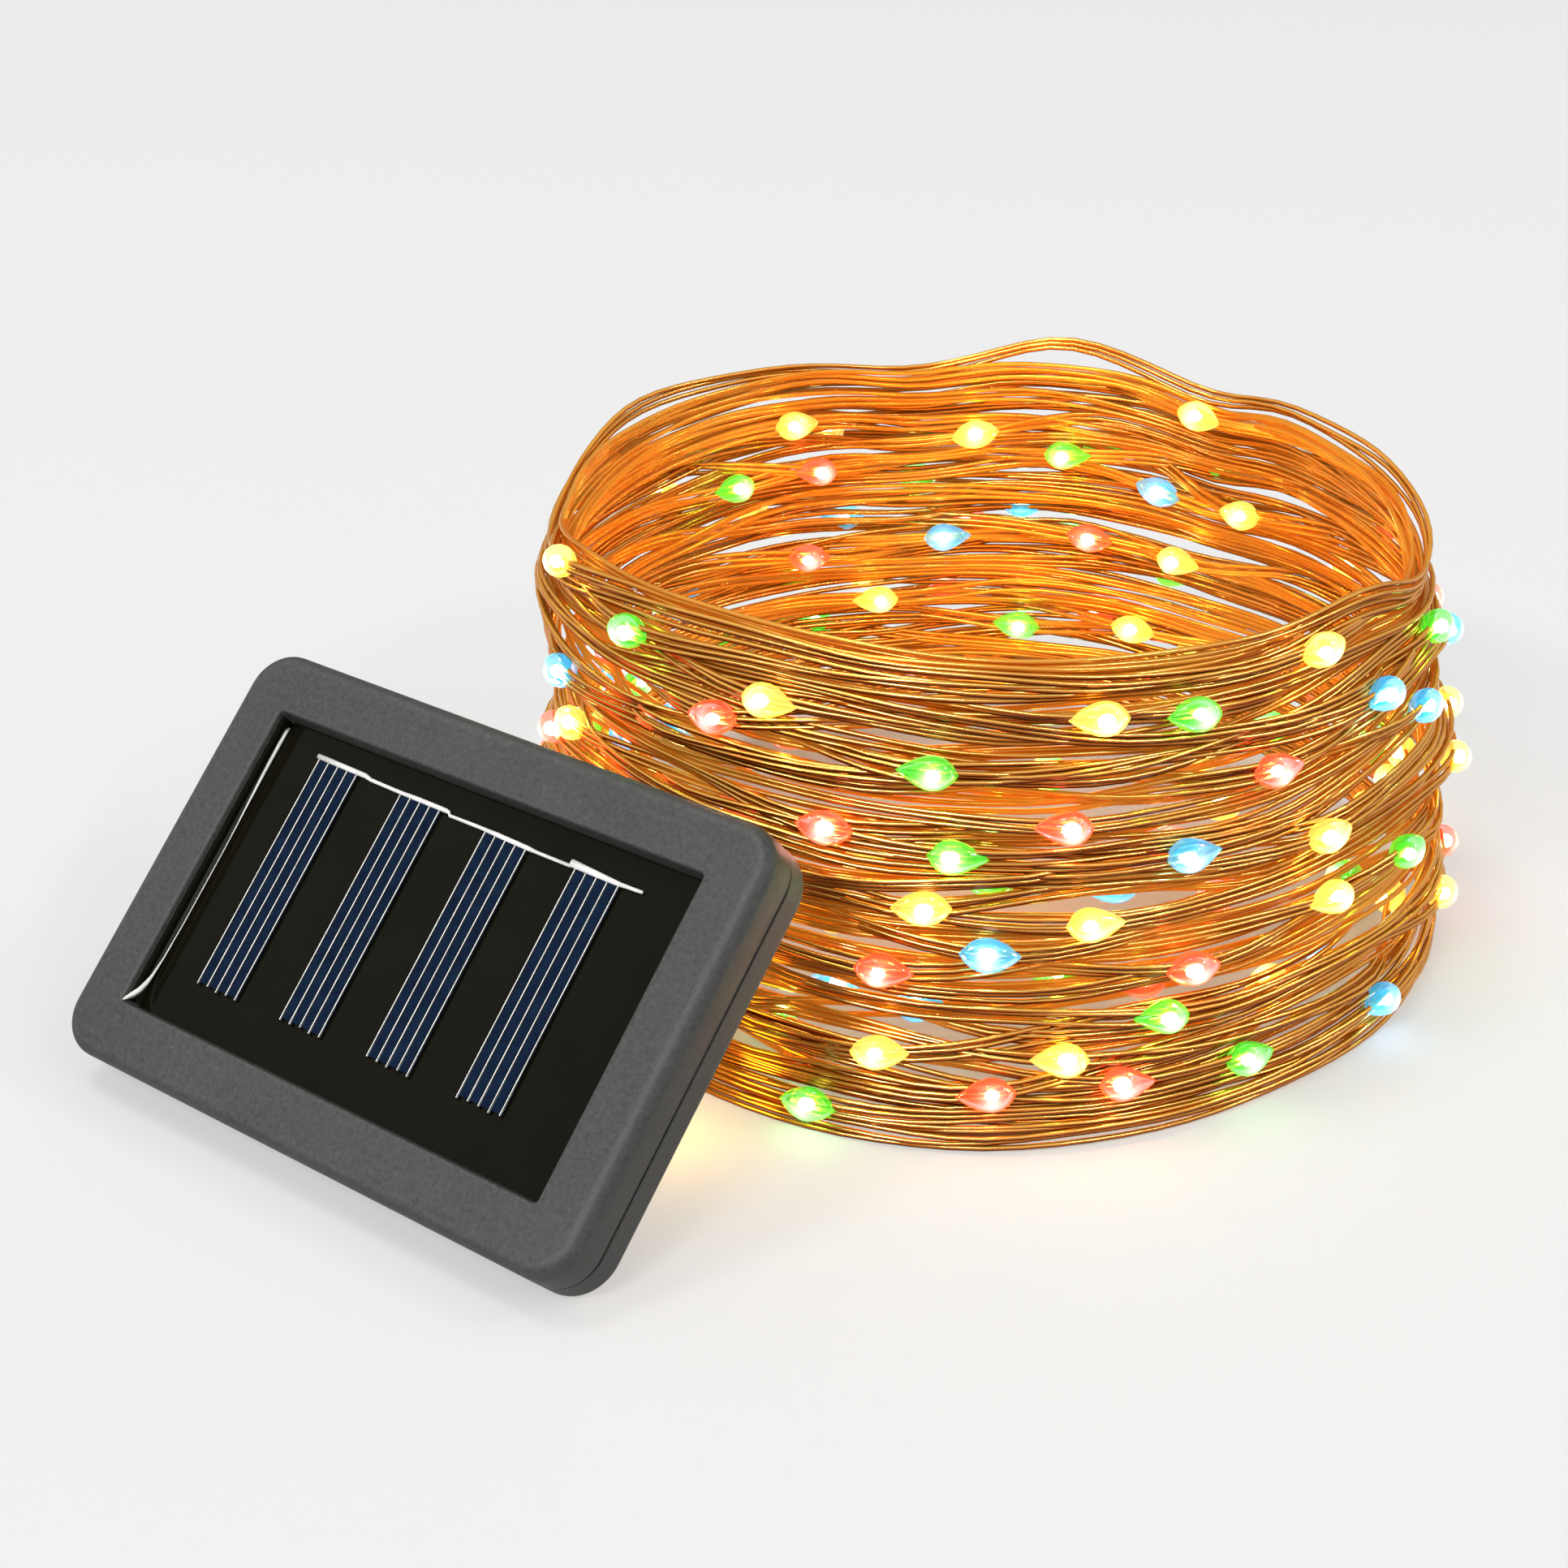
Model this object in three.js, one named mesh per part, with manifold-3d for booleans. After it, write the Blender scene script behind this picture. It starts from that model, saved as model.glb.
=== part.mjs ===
// Solar string lights: a tilted solar housing and its long copper-wire light string wound into a round coil.
// Millimetres, +Z up. The floor is z = 0, X runs along the housing's long edge and -Y is its sunny side.
import * as THREE from "three";
import { mergeVertices } from "three/addons/utils/BufferGeometryUtils.js";
import Module from "manifold-3d";

const wasm = await Module();
wasm.setup();

// ---------------------------------------------------------------- driving dimensions
const GAP = 0.3; // clearance kept between neighbouring pieces
const TILT = THREE.MathUtils.degToRad(44.3); // lean of the housing's face from the horizontal

// Housing frame: x along the long edge, y up the slope, z out of the face; the face is z = 0.
const HOUSING = { width: 91.4, height: 60.8, corner: 6, faceEdge: 2, rearEdge: 1.2 };
const WINDOW = { width: 75, height: 44.2, corner: 0.6 };
const PARTING_Z = -5.8; // where the front and the rear cover meet
const REAR_Z = -10.4; // rear face of the housing
const REAR_WALL = 1.5;
const SIDE_WALL = 1.9;
const COVER_SEAL = { width: 86.6, height: 56, corner: 14, wide: 1.4, deep: 1.6 };

const LAMINATE = { width: 77, height: 46.2, front: -3.1, thick: 1.6, corner: 1 };
const SEALANT_WIDTH = 1.2;

// Each cell strip is cut a little shorter than the one on its left.
const STRIP = { count: 4, width: 7.5, length: 33.6, shorter: 0.7, pitch: 15.7, y: 1.4, thick: 0.35 };
const STRIP_FIRST_X = -WINDOW.width / 2 + 11.7; // centre line of the left strip
const RIBBON = { thick: 0.3, thin: 0.5, wide: 0.95, taper: 0.6, tail: 3.4 };

const HUMP = { width: 66, height: 19.6, y: 13.6, z: -18.6, corner: 3, edge: 1.2, wall: 1.7 };
const CELL = { radius: 5.25, length: 43, nub: 1.5, nubRadius: 1.9, x: 0.75, z: -11.3 };
const DOOR = { width: 60, height: 13.8, corner: 1.5, x: 0.4 };
const DOOR_SCREW_X = 28.2;
const DOOR_SEAL = { width: 52, height: 12.6, corner: 1.2, wide: 0.7, x: -1.8, deep: 0.7 };
const CONTACT = { thick: 0.4, side: 8, springTravel: 6.2 };
const WIRE = { radius: 0.5, z: -7.6 };

const SCREW = { x: 42, y: 26.8, shank: 1, head: 1.9, headDepth: 1.2, length: 6.6 };
const BOSS_RADIUS = 2.9;

const BOARD = { width: 66, height: 23, y: -11.4, front: -5.2, thick: 0.8 };
const SWITCH = { side: 5.2, depth: 1.2 };
const BUTTON = { x: 24, y: -14, radius: 3, flange: 3.8, flangeDepth: 0.45, proud: 1.1, dish: 0.3 };

const PIVOT = { y: -2.8, z: -17.4, boltRadius: 1.5 };
const EAR = { gap: 12.8, thick: 3, radius: 5.2 };
const SOCKET = { radius: 6, bore: 4, boreDepth: 9.6, reach: 13.75, width: 12.2 };

const GLAND = { x: -36, y: -18, radius: 3, tip: 1.9, bore: 0.95, length: 5 };

const CORD_RADIUS = 0.75; // half the width of the string where its wires lie together
const COIL = { x: 19.6, y: 96, height: 65.5, wall: 7, segments: 48 };
const BEAD = { count: 16, halfLength: 4, radius: 2.3, sides: 8, rows: 6 };

// ---------------------------------------------------------------- looks
const LOOKS = {
  shell: { color: 0x4b4d50, roughness: 0.62, metalness: 0 },
  laminate: { color: 0x14130f, roughness: 0.25, metalness: 0 },
  cell: { color: 0x16264f, roughness: 0.3, metalness: 0.2 },
  silver: { color: 0xd8d8d4, roughness: 0.35, metalness: 1 },
  steel: { color: 0x9a9c9e, roughness: 0.35, metalness: 1 },
  rubber: { color: 0x1d1d1e, roughness: 0.8, metalness: 0 },
  board: { color: 0x1f5a34, roughness: 0.5, metalness: 0 },
  chip: { color: 0x121214, roughness: 0.5, metalness: 0 },
  sleeve: { color: 0x3f7d4c, roughness: 0.4, metalness: 0 },
  redWire: { color: 0xa31515, roughness: 0.5, metalness: 0 },
  blackWire: { color: 0x111111, roughness: 0.5, metalness: 0 },
  copper: { color: 0xb8692a, roughness: 0.3, metalness: 1 },
  amber: { color: 0xffc040, roughness: 0.1, metalness: 0 },
};
const materials = Object.fromEntries(
  Object.entries(LOOKS).map(([name, look]) => [name, new THREE.MeshStandardMaterial(look)]),
);

// ---------------------------------------------------------------- solids
// A three.js geometry as a closed manifold solid.
function solid(geometry) {
  const bare = geometry.clone();
  bare.deleteAttribute("normal");
  bare.deleteAttribute("uv");
  const merged = mergeVertices(bare, 1e-4);
  return new wasm.Manifold(
    new wasm.Mesh({
      numProp: 3,
      vertProperties: merged.attributes.position.array,
      triVerts: new Uint32Array(merged.index.array),
    }),
  );
}

// A manifold solid as a three.js geometry.
function geometryOf(manifold) {
  const mesh = manifold.getMesh();
  const count = mesh.vertProperties.length / mesh.numProp;
  const position = new Float32Array(count * 3);
  for (let i = 0; i < count; i++) {
    position.set(mesh.vertProperties.subarray(i * mesh.numProp, i * mesh.numProp + 3), i * 3);
  }
  const geometry = new THREE.BufferGeometry();
  geometry.setAttribute("position", new THREE.BufferAttribute(position, 3));
  geometry.setIndex(new THREE.BufferAttribute(mesh.triVerts, 1));
  geometry.computeVertexNormals();
  return geometry;
}

function roundedRect(width, height, radius) {
  const x = width / 2;
  const y = height / 2;
  const shape = new THREE.Shape();
  shape.moveTo(-x + radius, -y);
  shape.lineTo(x - radius, -y);
  shape.absarc(x - radius, -y + radius, radius, -Math.PI / 2, 0);
  shape.lineTo(x, y - radius);
  shape.absarc(x - radius, y - radius, radius, 0, Math.PI / 2);
  shape.lineTo(-x + radius, y);
  shape.absarc(-x + radius, y - radius, radius, Math.PI / 2, Math.PI);
  shape.lineTo(-x, -y + radius);
  shape.absarc(-x + radius, -y + radius, radius, Math.PI, Math.PI * 1.5);
  return shape;
}

// A plate with round corners between two heights.
function plate(width, height, radius, z0, z1, x = 0, y = 0) {
  const options = { depth: z1 - z0, bevelEnabled: false, curveSegments: 4 };
  return new THREE.ExtrudeGeometry(roundedRect(width, height, radius), options).translate(x, y, z0);
}

// The same plate with both of its face edges rounded over.
function softPlate(width, height, radius, z0, z1, edge, x = 0, y = 0) {
  const shape = roundedRect(width - 2 * edge, height - 2 * edge, radius - edge * 0.6);
  const geometry = new THREE.ExtrudeGeometry(shape, {
    depth: z1 - z0 - 2 * edge,
    bevelThickness: edge,
    bevelSize: edge,
    bevelSegments: 4,
    curveSegments: 7,
  });
  return geometry.translate(x, y, z0 + edge);
}

function ring(width, height, radius, wide, z0, z1, x = 0, y = 0) {
  const shape = roundedRect(width, height, radius);
  shape.holes.push(roundedRect(width - 2 * wide, height - 2 * wide, radius - wide));
  const options = { depth: z1 - z0, bevelEnabled: false, curveSegments: 4 };
  return new THREE.ExtrudeGeometry(shape, options).translate(x, y, z0);
}

function box(width, depth, height, x, y, z) {
  return new THREE.BoxGeometry(width, depth, height).translate(x, y, z);
}

// A cylinder along z from z0 to z1.
function post(radius, z0, z1, x = 0, y = 0, sides = 16) {
  const geometry = new THREE.CylinderGeometry(radius, radius, z1 - z0, sides);
  return geometry.rotateX(Math.PI / 2).translate(x, y, (z0 + z1) / 2);
}

// A cylinder along x, centred on x.
function axle(radius, length, x, y, z, sides = 16) {
  return new THREE.CylinderGeometry(radius, radius, length, sides).rotateZ(Math.PI / 2).translate(x, y, z);
}

function circle(radius, sides) {
  const points = [];
  for (let i = 0; i < sides; i++) {
    const turn = (i / sides) * 2 * Math.PI;
    points.push(new THREE.Vector2(radius * Math.cos(turn), radius * Math.sin(turn)));
  }
  return new THREE.Shape(points);
}

function tube(points, radius, steps, sides = 8) {
  const curve = new THREE.CatmullRomCurve3(points.map((p) => new THREE.Vector3(...p)));
  return new THREE.ExtrudeGeometry(circle(radius, sides), { steps, extrudePath: curve });
}

const housing = new THREE.Group(); // everything on the solar unit, in the housing frame
const string = new THREE.Group(); // the light string, in the floor frame

function add(group, name, look, geometry) {
  const mesh = new THREE.Mesh(geometry, materials[look]);
  mesh.name = name;
  group.add(mesh);
}

// ---------------------------------------------------------------- covers
const corners = [-1, 1].flatMap((sx) => [-1, 1].map((sy) => [sx * SCREW.x, sy * SCREW.y]));

function frontCover() {
  const { width, height, corner, faceEdge } = HOUSING;
  let body = solid(softPlate(width, height, corner, -12, 0, faceEdge));
  body = body.subtract(solid(box(width + 2, height + 2, 10, 0, 0, PARTING_Z - 5)));
  body = body.subtract(solid(plate(WINDOW.width, WINDOW.height, WINDOW.corner, -6, 1)));
  const pocketWidth = LAMINATE.width + 2 * (SEALANT_WIDTH + 2 * GAP);
  const pocketHeight = LAMINATE.height + 2 * (SEALANT_WIDTH + 2 * GAP);
  body = body.subtract(solid(plate(pocketWidth, pocketHeight, 2, -6, LAMINATE.front + GAP)));
  for (const [x, y] of corners) {
    body = body.subtract(solid(post(SCREW.shank + GAP, -6, -2.4, x, y, 12)));
  }
  return geometryOf(body);
}

function rearCover() {
  const { width, height, corner, rearEdge } = HOUSING;
  const seam = PARTING_Z - GAP;
  const floor = REAR_Z + REAR_WALL;
  let body = solid(softPlate(width, height, corner, REAR_Z, 4, rearEdge));
  body = body.add(solid(softPlate(HUMP.width, HUMP.height, HUMP.corner, HUMP.z, -6, HUMP.edge, 0, HUMP.y)));
  body = body.subtract(solid(box(width + 2, height + 2, 12, 0, 0, seam + 6)));
  const innerWidth = width - 2 * SIDE_WALL;
  const innerHeight = height - 2 * SIDE_WALL;
  let hollow = solid(plate(innerWidth, innerHeight, corner - SIDE_WALL, floor, 0));
  for (const [x, y] of corners) {
    hollow = hollow.subtract(solid(post(BOSS_RADIUS, -12, 1, x, y, 12)));
  }
  body = body.subtract(hollow);
  const bayWidth = HUMP.width - 2 * HUMP.wall;
  const bayHeight = HUMP.height - 2 * HUMP.wall;
  const bayFloor = HUMP.z + HUMP.wall;
  let bay = solid(plate(bayWidth, bayHeight, 1.2, bayFloor, 0, 0, HUMP.y));
  bay = bay.subtract(solid(box(8, 3.6, 12, DOOR_SCREW_X + 3.4, HUMP.y, -12)));
  body = body.subtract(bay);
  const doorWidth = DOOR.width + 2 * GAP;
  const doorHeight = DOOR.height + 2 * GAP;
  body = body.subtract(solid(plate(doorWidth, doorHeight, DOOR.corner, -20, bayFloor + 0.1, DOOR.x, HUMP.y)));
  body = body.subtract(solid(post(0.9, -20, -9, DOOR_SCREW_X, HUMP.y, 10)));
  for (const side of [-1, 1]) {
    body = body.add(earSolid(side));
    body = body.subtract(solid(post(BUTTON.radius + GAP, -12, floor + 1, side * BUTTON.x, BUTTON.y, 20)));
  }
  body = body.subtract(solid(axle(PIVOT.boltRadius + GAP, 40, 0, PIVOT.y, PIVOT.z, 14)));
  for (const [x, y] of corners) {
    body = body.subtract(solid(post(SCREW.shank + GAP, -12, 1, x, y, 12)));
    body = body.subtract(solid(post(SCREW.head + GAP, -12, REAR_Z + SCREW.headDepth + GAP, x, y, 14)));
  }
  body = body.subtract(solid(post(GLAND.tip + GAP, -12, 0, GLAND.x, GLAND.y, 14)));
  return geometryOf(body);
}

// One lug of the swivel: a rounded tongue standing on the rear face.
function earSolid(side) {
  const depth = REAR_Z - PIVOT.z + 0.8;
  const x = side * (EAR.gap / 2 + EAR.thick / 2);
  const tongue = solid(box(EAR.thick, 2 * EAR.radius, depth, x, PIVOT.y - 1.2, PIVOT.z + depth / 2));
  const nose = solid(axle(EAR.radius, EAR.thick, x, PIVOT.y - 1.2, PIVOT.z, 20));
  const clear = solid(box(30, 10, 30, 0, HUMP.y - HUMP.height / 2 + 5 - 0.2, -22));
  return tongue.add(nose).subtract(clear);
}

add(housing, "front_cover", "shell", frontCover());
add(housing, "rear_cover", "shell", rearCover());
function coverSeal() {
  const { width, height, corner, wide, deep } = COVER_SEAL;
  const top = PARTING_Z - GAP;
  return ring(width, height, corner, wide, top - deep, top);
}
add(housing, "cover_seal", "rubber", coverSeal());
corners.forEach(([x, y], i) => {
  const head = solid(post(SCREW.head, REAR_Z, REAR_Z + SCREW.headDepth, x, y, 12));
  const shank = solid(post(SCREW.shank, REAR_Z + 0.5, REAR_Z + SCREW.length, x, y, 10));
  const slot = solid(box(2.6, 0.6, 1, x, y, REAR_Z));
  add(housing, `cover_screw_${i + 1}`, "steel", geometryOf(head.add(shank).subtract(slot)));
});

// ---------------------------------------------------------------- solar panel
const laminateBack = LAMINATE.front - LAMINATE.thick;
add(
  housing,
  "solar_laminate",
  "laminate",
  plate(LAMINATE.width, LAMINATE.height, LAMINATE.corner, laminateBack, LAMINATE.front),
);
const sealantOuter = 2 * (SEALANT_WIDTH + GAP);
add(
  housing,
  "laminate_sealant",
  "rubber",
  ring(
    LAMINATE.width + sealantOuter,
    LAMINATE.height + sealantOuter,
    2.4,
    SEALANT_WIDTH,
    laminateBack,
    LAMINATE.front,
  ),
);
const stripFloor = LAMINATE.front + 0.05;
const stripLength = (i) => STRIP.length - i * STRIP.shorter;
for (let i = 0; i < STRIP.count; i++) {
  const x = STRIP_FIRST_X + i * STRIP.pitch;
  const geometry = box(STRIP.width, stripLength(i), STRIP.thick, x, STRIP.y, stripFloor + STRIP.thick / 2);
  add(housing, `solar_cell_strip_${i + 1}`, "cell", geometry);
}

// The tinned ribbon that joins the strips' upper ends: wide where it is soldered, thin between.
function ribbonShape() {
  const left = STRIP_FIRST_X - STRIP.width / 2;
  const lower = [];
  const upper = [];
  const addPoint = (x, y, wide) => {
    lower.push([x, y]);
    upper.push([x, y + wide]);
  };
  for (let i = 0; i < STRIP.count; i++) {
    const x = left + i * STRIP.pitch;
    const y = STRIP.y + stripLength(i) / 2 + GAP;
    if (i > 0) addPoint(x - RIBBON.taper, y, RIBBON.thin);
    addPoint(x, y, RIBBON.wide);
    addPoint(x + STRIP.width, y, RIBBON.wide);
    addPoint(x + STRIP.width + RIBBON.taper, y, RIBBON.thin);
    if (i === STRIP.count - 1) addPoint(x + STRIP.width + RIBBON.tail, y, RIBBON.thin);
  }
  return new THREE.Shape([...lower, ...upper.reverse()].map(([x, y]) => new THREE.Vector2(x, y)));
}
const ribbon = new THREE.ExtrudeGeometry(ribbonShape(), { depth: RIBBON.thick, bevelEnabled: false });
add(housing, "bus_ribbon", "silver", ribbon.translate(0, 0, stripFloor));

// ---------------------------------------------------------------- board and buttons
const boardBack = BOARD.front - BOARD.thick;
const boardMiddle = BOARD.front - BOARD.thick / 2;
add(housing, "circuit_board", "board", box(BOARD.width, BOARD.height, BOARD.thick, 0, BOARD.y, boardMiddle));
const onBoard = (width, depth, height, x, y) => box(width, depth, height, x, y, boardBack - GAP - height / 2);
add(housing, "controller_chip", "chip", onBoard(5, 4, 1.4, -4, -14));
add(housing, "boost_inductor", "chip", onBoard(4.6, 4.6, 2, 8, -8));
add(housing, "buffer_capacitor", "sleeve", onBoard(3.2, 2.6, 2, -13, -7));
// A rubber cap that stands through the rear cover, with a flange that keeps it in.
function buttonSolid(x) {
  const seat = REAR_Z + REAR_WALL + GAP;
  const cap = solid(post(BUTTON.radius, REAR_Z - BUTTON.proud, seat + 0.2, x, BUTTON.y, 20));
  const flange = solid(post(BUTTON.flange, seat, seat + BUTTON.flangeDepth, x, BUTTON.y, 20));
  const top = REAR_Z - BUTTON.proud;
  const dish = solid(post(BUTTON.radius - 0.9, top - 1, top + BUTTON.dish, x, BUTTON.y, 16));
  return geometryOf(cap.add(flange).subtract(dish));
}
for (const [side, name] of [
  [-1, "power"],
  [1, "mode"],
]) {
  const x = side * BUTTON.x;
  add(housing, `${name}_switch`, "steel", onBoard(SWITCH.side, SWITCH.side, SWITCH.depth, x, BUTTON.y));
  add(housing, `${name}_button`, "rubber", buttonSolid(x));
}

// ---------------------------------------------------------------- battery
function cellSolid() {
  const can = solid(axle(CELL.radius, CELL.length, CELL.x, HUMP.y, CELL.z, 20));
  const nubX = CELL.x + CELL.length / 2 + CELL.nub / 2 - 0.1;
  return geometryOf(can.add(solid(axle(CELL.nubRadius, CELL.nub, nubX, HUMP.y, CELL.z, 12))));
}
function contactPlate(x) {
  return box(CONTACT.thick, CONTACT.side, CONTACT.side, x, HUMP.y, CELL.z);
}
add(housing, "battery_cell", "sleeve", cellSolid());
const cellLeft = CELL.x - CELL.length / 2;
const cellRight = CELL.x + CELL.length / 2 + CELL.nub;
add(housing, "positive_contact", "silver", contactPlate(cellRight + GAP + CONTACT.thick / 2));

// A conical coil spring that presses on the cell's flat end, with its wide end on the contact plate.
function contactSpring() {
  const turns = 3;
  const length = 4.6;
  const points = [];
  for (let i = 0; i <= turns * 10; i++) {
    const t = i / (turns * 10);
    const turn = t * turns * 2 * Math.PI;
    const radius = 3.6 - 1.6 * t;
    const x = cellLeft - GAP - 0.35 - length * (1 - t);
    points.push([x, HUMP.y + radius * Math.cos(turn), CELL.z + radius * Math.sin(turn)]);
  }
  return tube(points, 0.3, 36, 6);
}
add(housing, "battery_spring", "silver", contactSpring());
add(housing, "negative_contact", "silver", contactPlate(cellLeft - CONTACT.springTravel));

function batteryDoor() {
  const inner = HUMP.z + HUMP.wall;
  let body = solid(plate(DOOR.width, DOOR.height, DOOR.corner - GAP, HUMP.z, inner, DOOR.x, HUMP.y));
  for (const side of [-1, 1]) {
    const tab = box(2.6, 1.6, 0.9, DOOR.x - DOOR.width / 2 - 0.1, HUMP.y + side * 4.6, inner + 0.75);
    const neck = box(1.3, 1.6, 1, DOOR.x - DOOR.width / 2 + 0.65, HUMP.y + side * 4.6, inner + 0.3);
    body = body.add(solid(tab)).add(solid(neck));
  }
  body = body.subtract(solid(post(1.3, -20, 0, DOOR_SCREW_X, HUMP.y, 12)));
  body = body.subtract(solid(post(2.2, -20, HUMP.z + 0.9, DOOR_SCREW_X, HUMP.y, 14)));
  for (let i = -2; i <= 2; i++) {
    body = body.subtract(solid(box(0.8, 8, 0.8, DOOR.x - 23 + i * 1.8, HUMP.y, HUMP.z)));
  }
  return geometryOf(body);
}
add(housing, "battery_door", "shell", batteryDoor());
function doorSeal() {
  const { width, height, corner, wide, x, deep } = DOOR_SEAL;
  const base = HUMP.z + HUMP.wall + GAP;
  return ring(width, height, corner, wide, base, base + deep, x, HUMP.y);
}
add(housing, "door_seal", "rubber", doorSeal());
const doorScrew = solid(post(1.9, HUMP.z, HUMP.z + 0.6, DOOR_SCREW_X, HUMP.y, 12))
  .add(solid(post(0.6, HUMP.z + 0.3, -12.4, DOOR_SCREW_X, HUMP.y, 10)))
  .subtract(solid(box(2.6, 0.6, 0.6, DOOR_SCREW_X, HUMP.y, HUMP.z)));
add(housing, "battery_door_screw", "steel", geometryOf(doorScrew));

// ---------------------------------------------------------------- inner wires
// Each wire's route across the back of the housing as x, y points, all at one depth.
const WIRES = [
  { name: "panel_wire_red", look: "redWire", route: [[-37, 4], [-37, 8], [-36.4, 14], [-34.6, 19]] },
  { name: "panel_wire_black", look: "blackWire", route: [[-39, 4], [-39, 9], [-38.6, 15], [-37, 21]] },
  { name: "battery_wire_red", look: "redWire", route: [[27.4, 2], [28.6, 3.4], [30, 5.2], [30.4, 8]] },
  { name: "battery_wire_black", look: "blackWire", route: [[-27.4, 2], [-28.6, 3.4], [-30, 5.6], [-30.4, 8]] },
];
for (const { name, look, route } of WIRES) {
  const points = route.map(([x, y]) => [x, y, WIRE.z]);
  add(housing, name, look, tube(points, WIRE.radius, 8, 6));
}

// ---------------------------------------------------------------- swivel socket
// The socket that a ground stake plugs into. It hangs straight down from its knuckle and stands on the floor.
function socketGeometry() {
  let body = solid(post(SOCKET.radius, -SOCKET.reach, 0, 0, 0, 24));
  body = body.add(solid(axle(EAR.radius, SOCKET.width, 0, 0, 0, 24)));
  body = body.intersect(solid(box(SOCKET.width, 20, 60, 0, 0, 0)));
  body = body.subtract(solid(post(SOCKET.bore, -SOCKET.reach - 1, SOCKET.boreDepth - SOCKET.reach, 0, 0, 20)));
  body = body.subtract(solid(axle(PIVOT.boltRadius + GAP, 40, 0, 0, 0, 14)));
  return geometryOf(body).rotateX(-TILT).translate(0, PIVOT.y, PIVOT.z);
}
add(housing, "swivel_socket", "shell", socketGeometry());
const earOuter = EAR.gap / 2 + EAR.thick;
const boltHead = solid(axle(2.8, 1.6, earOuter + GAP + 0.8, PIVOT.y, PIVOT.z, 16));
const boltShank = solid(axle(PIVOT.boltRadius, 2 * earOuter + 4.4, 0.4, PIVOT.y, PIVOT.z, 12));
const boltSlot = solid(box(1, 0.7, 4, earOuter + GAP + 1.7, PIVOT.y, PIVOT.z));
add(housing, "pivot_bolt", "steel", geometryOf(boltHead.add(boltShank).subtract(boltSlot)));
const nut = solid(axle(2.9, 2, -earOuter - GAP - 1, PIVOT.y, PIVOT.z, 6));
const nutHole = solid(axle(PIVOT.boltRadius + GAP, 6, -earOuter - 1, PIVOT.y, PIVOT.z, 12));
add(housing, "pivot_nut", "steel", geometryOf(nut.subtract(nutHole)));

// ---------------------------------------------------------------- gland of the light string
function glandSolid() {
  const outer = REAR_Z - GAP;
  const profile = [
    [GLAND.bore, outer - GLAND.length],
    [GLAND.tip, outer - GLAND.length],
    [GLAND.tip, outer - GLAND.length + 1],
    [GLAND.radius, outer - 1.4],
    [GLAND.radius, outer],
    [GLAND.tip, outer],
    [GLAND.tip, REAR_Z + REAR_WALL + 0.8],
    [GLAND.bore, REAR_Z + REAR_WALL + 0.8],
    [GLAND.bore, outer - GLAND.length],
  ];
  const lathe = new THREE.LatheGeometry(profile.map(([r, y]) => new THREE.Vector2(r, y)), 16);
  return lathe.rotateX(Math.PI / 2).translate(GLAND.x, GLAND.y, 0);
}
add(housing, "string_gland", "rubber", glandSolid());

// ---------------------------------------------------------------- placing the housing on the floor
housing.rotation.x = TILT;
housing.updateMatrixWorld(true);
const lean = new THREE.Box3().setFromObject(housing, true);
housing.position.set(0, -(lean.min.y + lean.max.y) / 2, -lean.min.z);
housing.updateMatrixWorld(true);

// ---------------------------------------------------------------- light string
// Outer radius of the coil at a height: a drum that is a little narrower at its top.
function coilRadius(z) {
  const t = z / COIL.height;
  return 68.2 + 0.5 * t - 7 * t * t;
}

function coilGeometry() {
  const rows = 6;
  const outer = [];
  const inner = [];
  for (let i = 0; i <= rows; i++) {
    const z = (COIL.height * i) / rows;
    outer.push(new THREE.Vector2(coilRadius(z), z));
    inner.push(new THREE.Vector2(coilRadius(z) - COIL.wall, z));
  }
  const profile = [...outer, ...inner.reverse(), outer[0].clone()];
  return new THREE.LatheGeometry(profile, COIL.segments).rotateX(Math.PI / 2).translate(COIL.x, COIL.y, 0);
}
add(string, "light_coil", "copper", coilGeometry());

// The stretch of string between the gland and the coil, as it lies behind the housing.
const glandMouth = housing.localToWorld(
  new THREE.Vector3(GLAND.x, GLAND.y, REAR_Z - GAP - GLAND.length - GAP),
);
const LEAD = [
  [-36, 3.2, 1.9],
  [-36.2, 7, 1.05],
  [-37, 14, 0.9],
  [-38.4, 24, 0.9],
  [-40.2, 36, 0.9],
  [-42.4, 48, 0.9],
  [-45, 60, 0.9],
  [-46.4, 68, 0.9],
  [-46.6, 75, 0.9],
];
add(string, "string_lead", "copper", tube([glandMouth.toArray(), ...LEAD], CORD_RADIUS, 48));

// One clear LED bead: a pointed drop along the wire.
function beadGeometry() {
  const profile = [];
  for (let i = 0; i <= BEAD.rows; i++) {
    const t = (i / BEAD.rows) * 2 - 1;
    const radius = BEAD.radius * Math.pow(1 - t * t, 0.8);
    profile.push(new THREE.Vector2(Math.abs(t) === 1 ? 0 : radius, t * BEAD.halfLength));
  }
  return new THREE.LatheGeometry(profile, BEAD.sides);
}
for (let i = 0; i < BEAD.count; i++) {
  const turn = THREE.MathUtils.degToRad(-62 + (i * 276) / (BEAD.count - 1));
  const z = 9 + ((i * 23) % 49);
  const reach = coilRadius(z) + BEAD.radius + 0.6;
  const geometry = beadGeometry().rotateZ(turn);
  geometry.translate(COIL.x + reach * Math.cos(turn), COIL.y + reach * Math.sin(turn), z);
  add(string, `led_bead_${String(i + 1).padStart(2, "0")}`, "amber", geometry);
}

const lights = new THREE.Group();
lights.add(housing, string);
export default lights;
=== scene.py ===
"""Solar string lights: the looks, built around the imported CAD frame.

Blender objects are in metres. Pieces of the solar unit are drawn in the housing frame, in millimetres:
x along the long edge, y up the slope, z out of the sunny face. HOUSING turns that into the part's frame.
The light string is worked out in millimetres in the part's frame, and scaled once, as its meshes are made.
"""

import math

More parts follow.
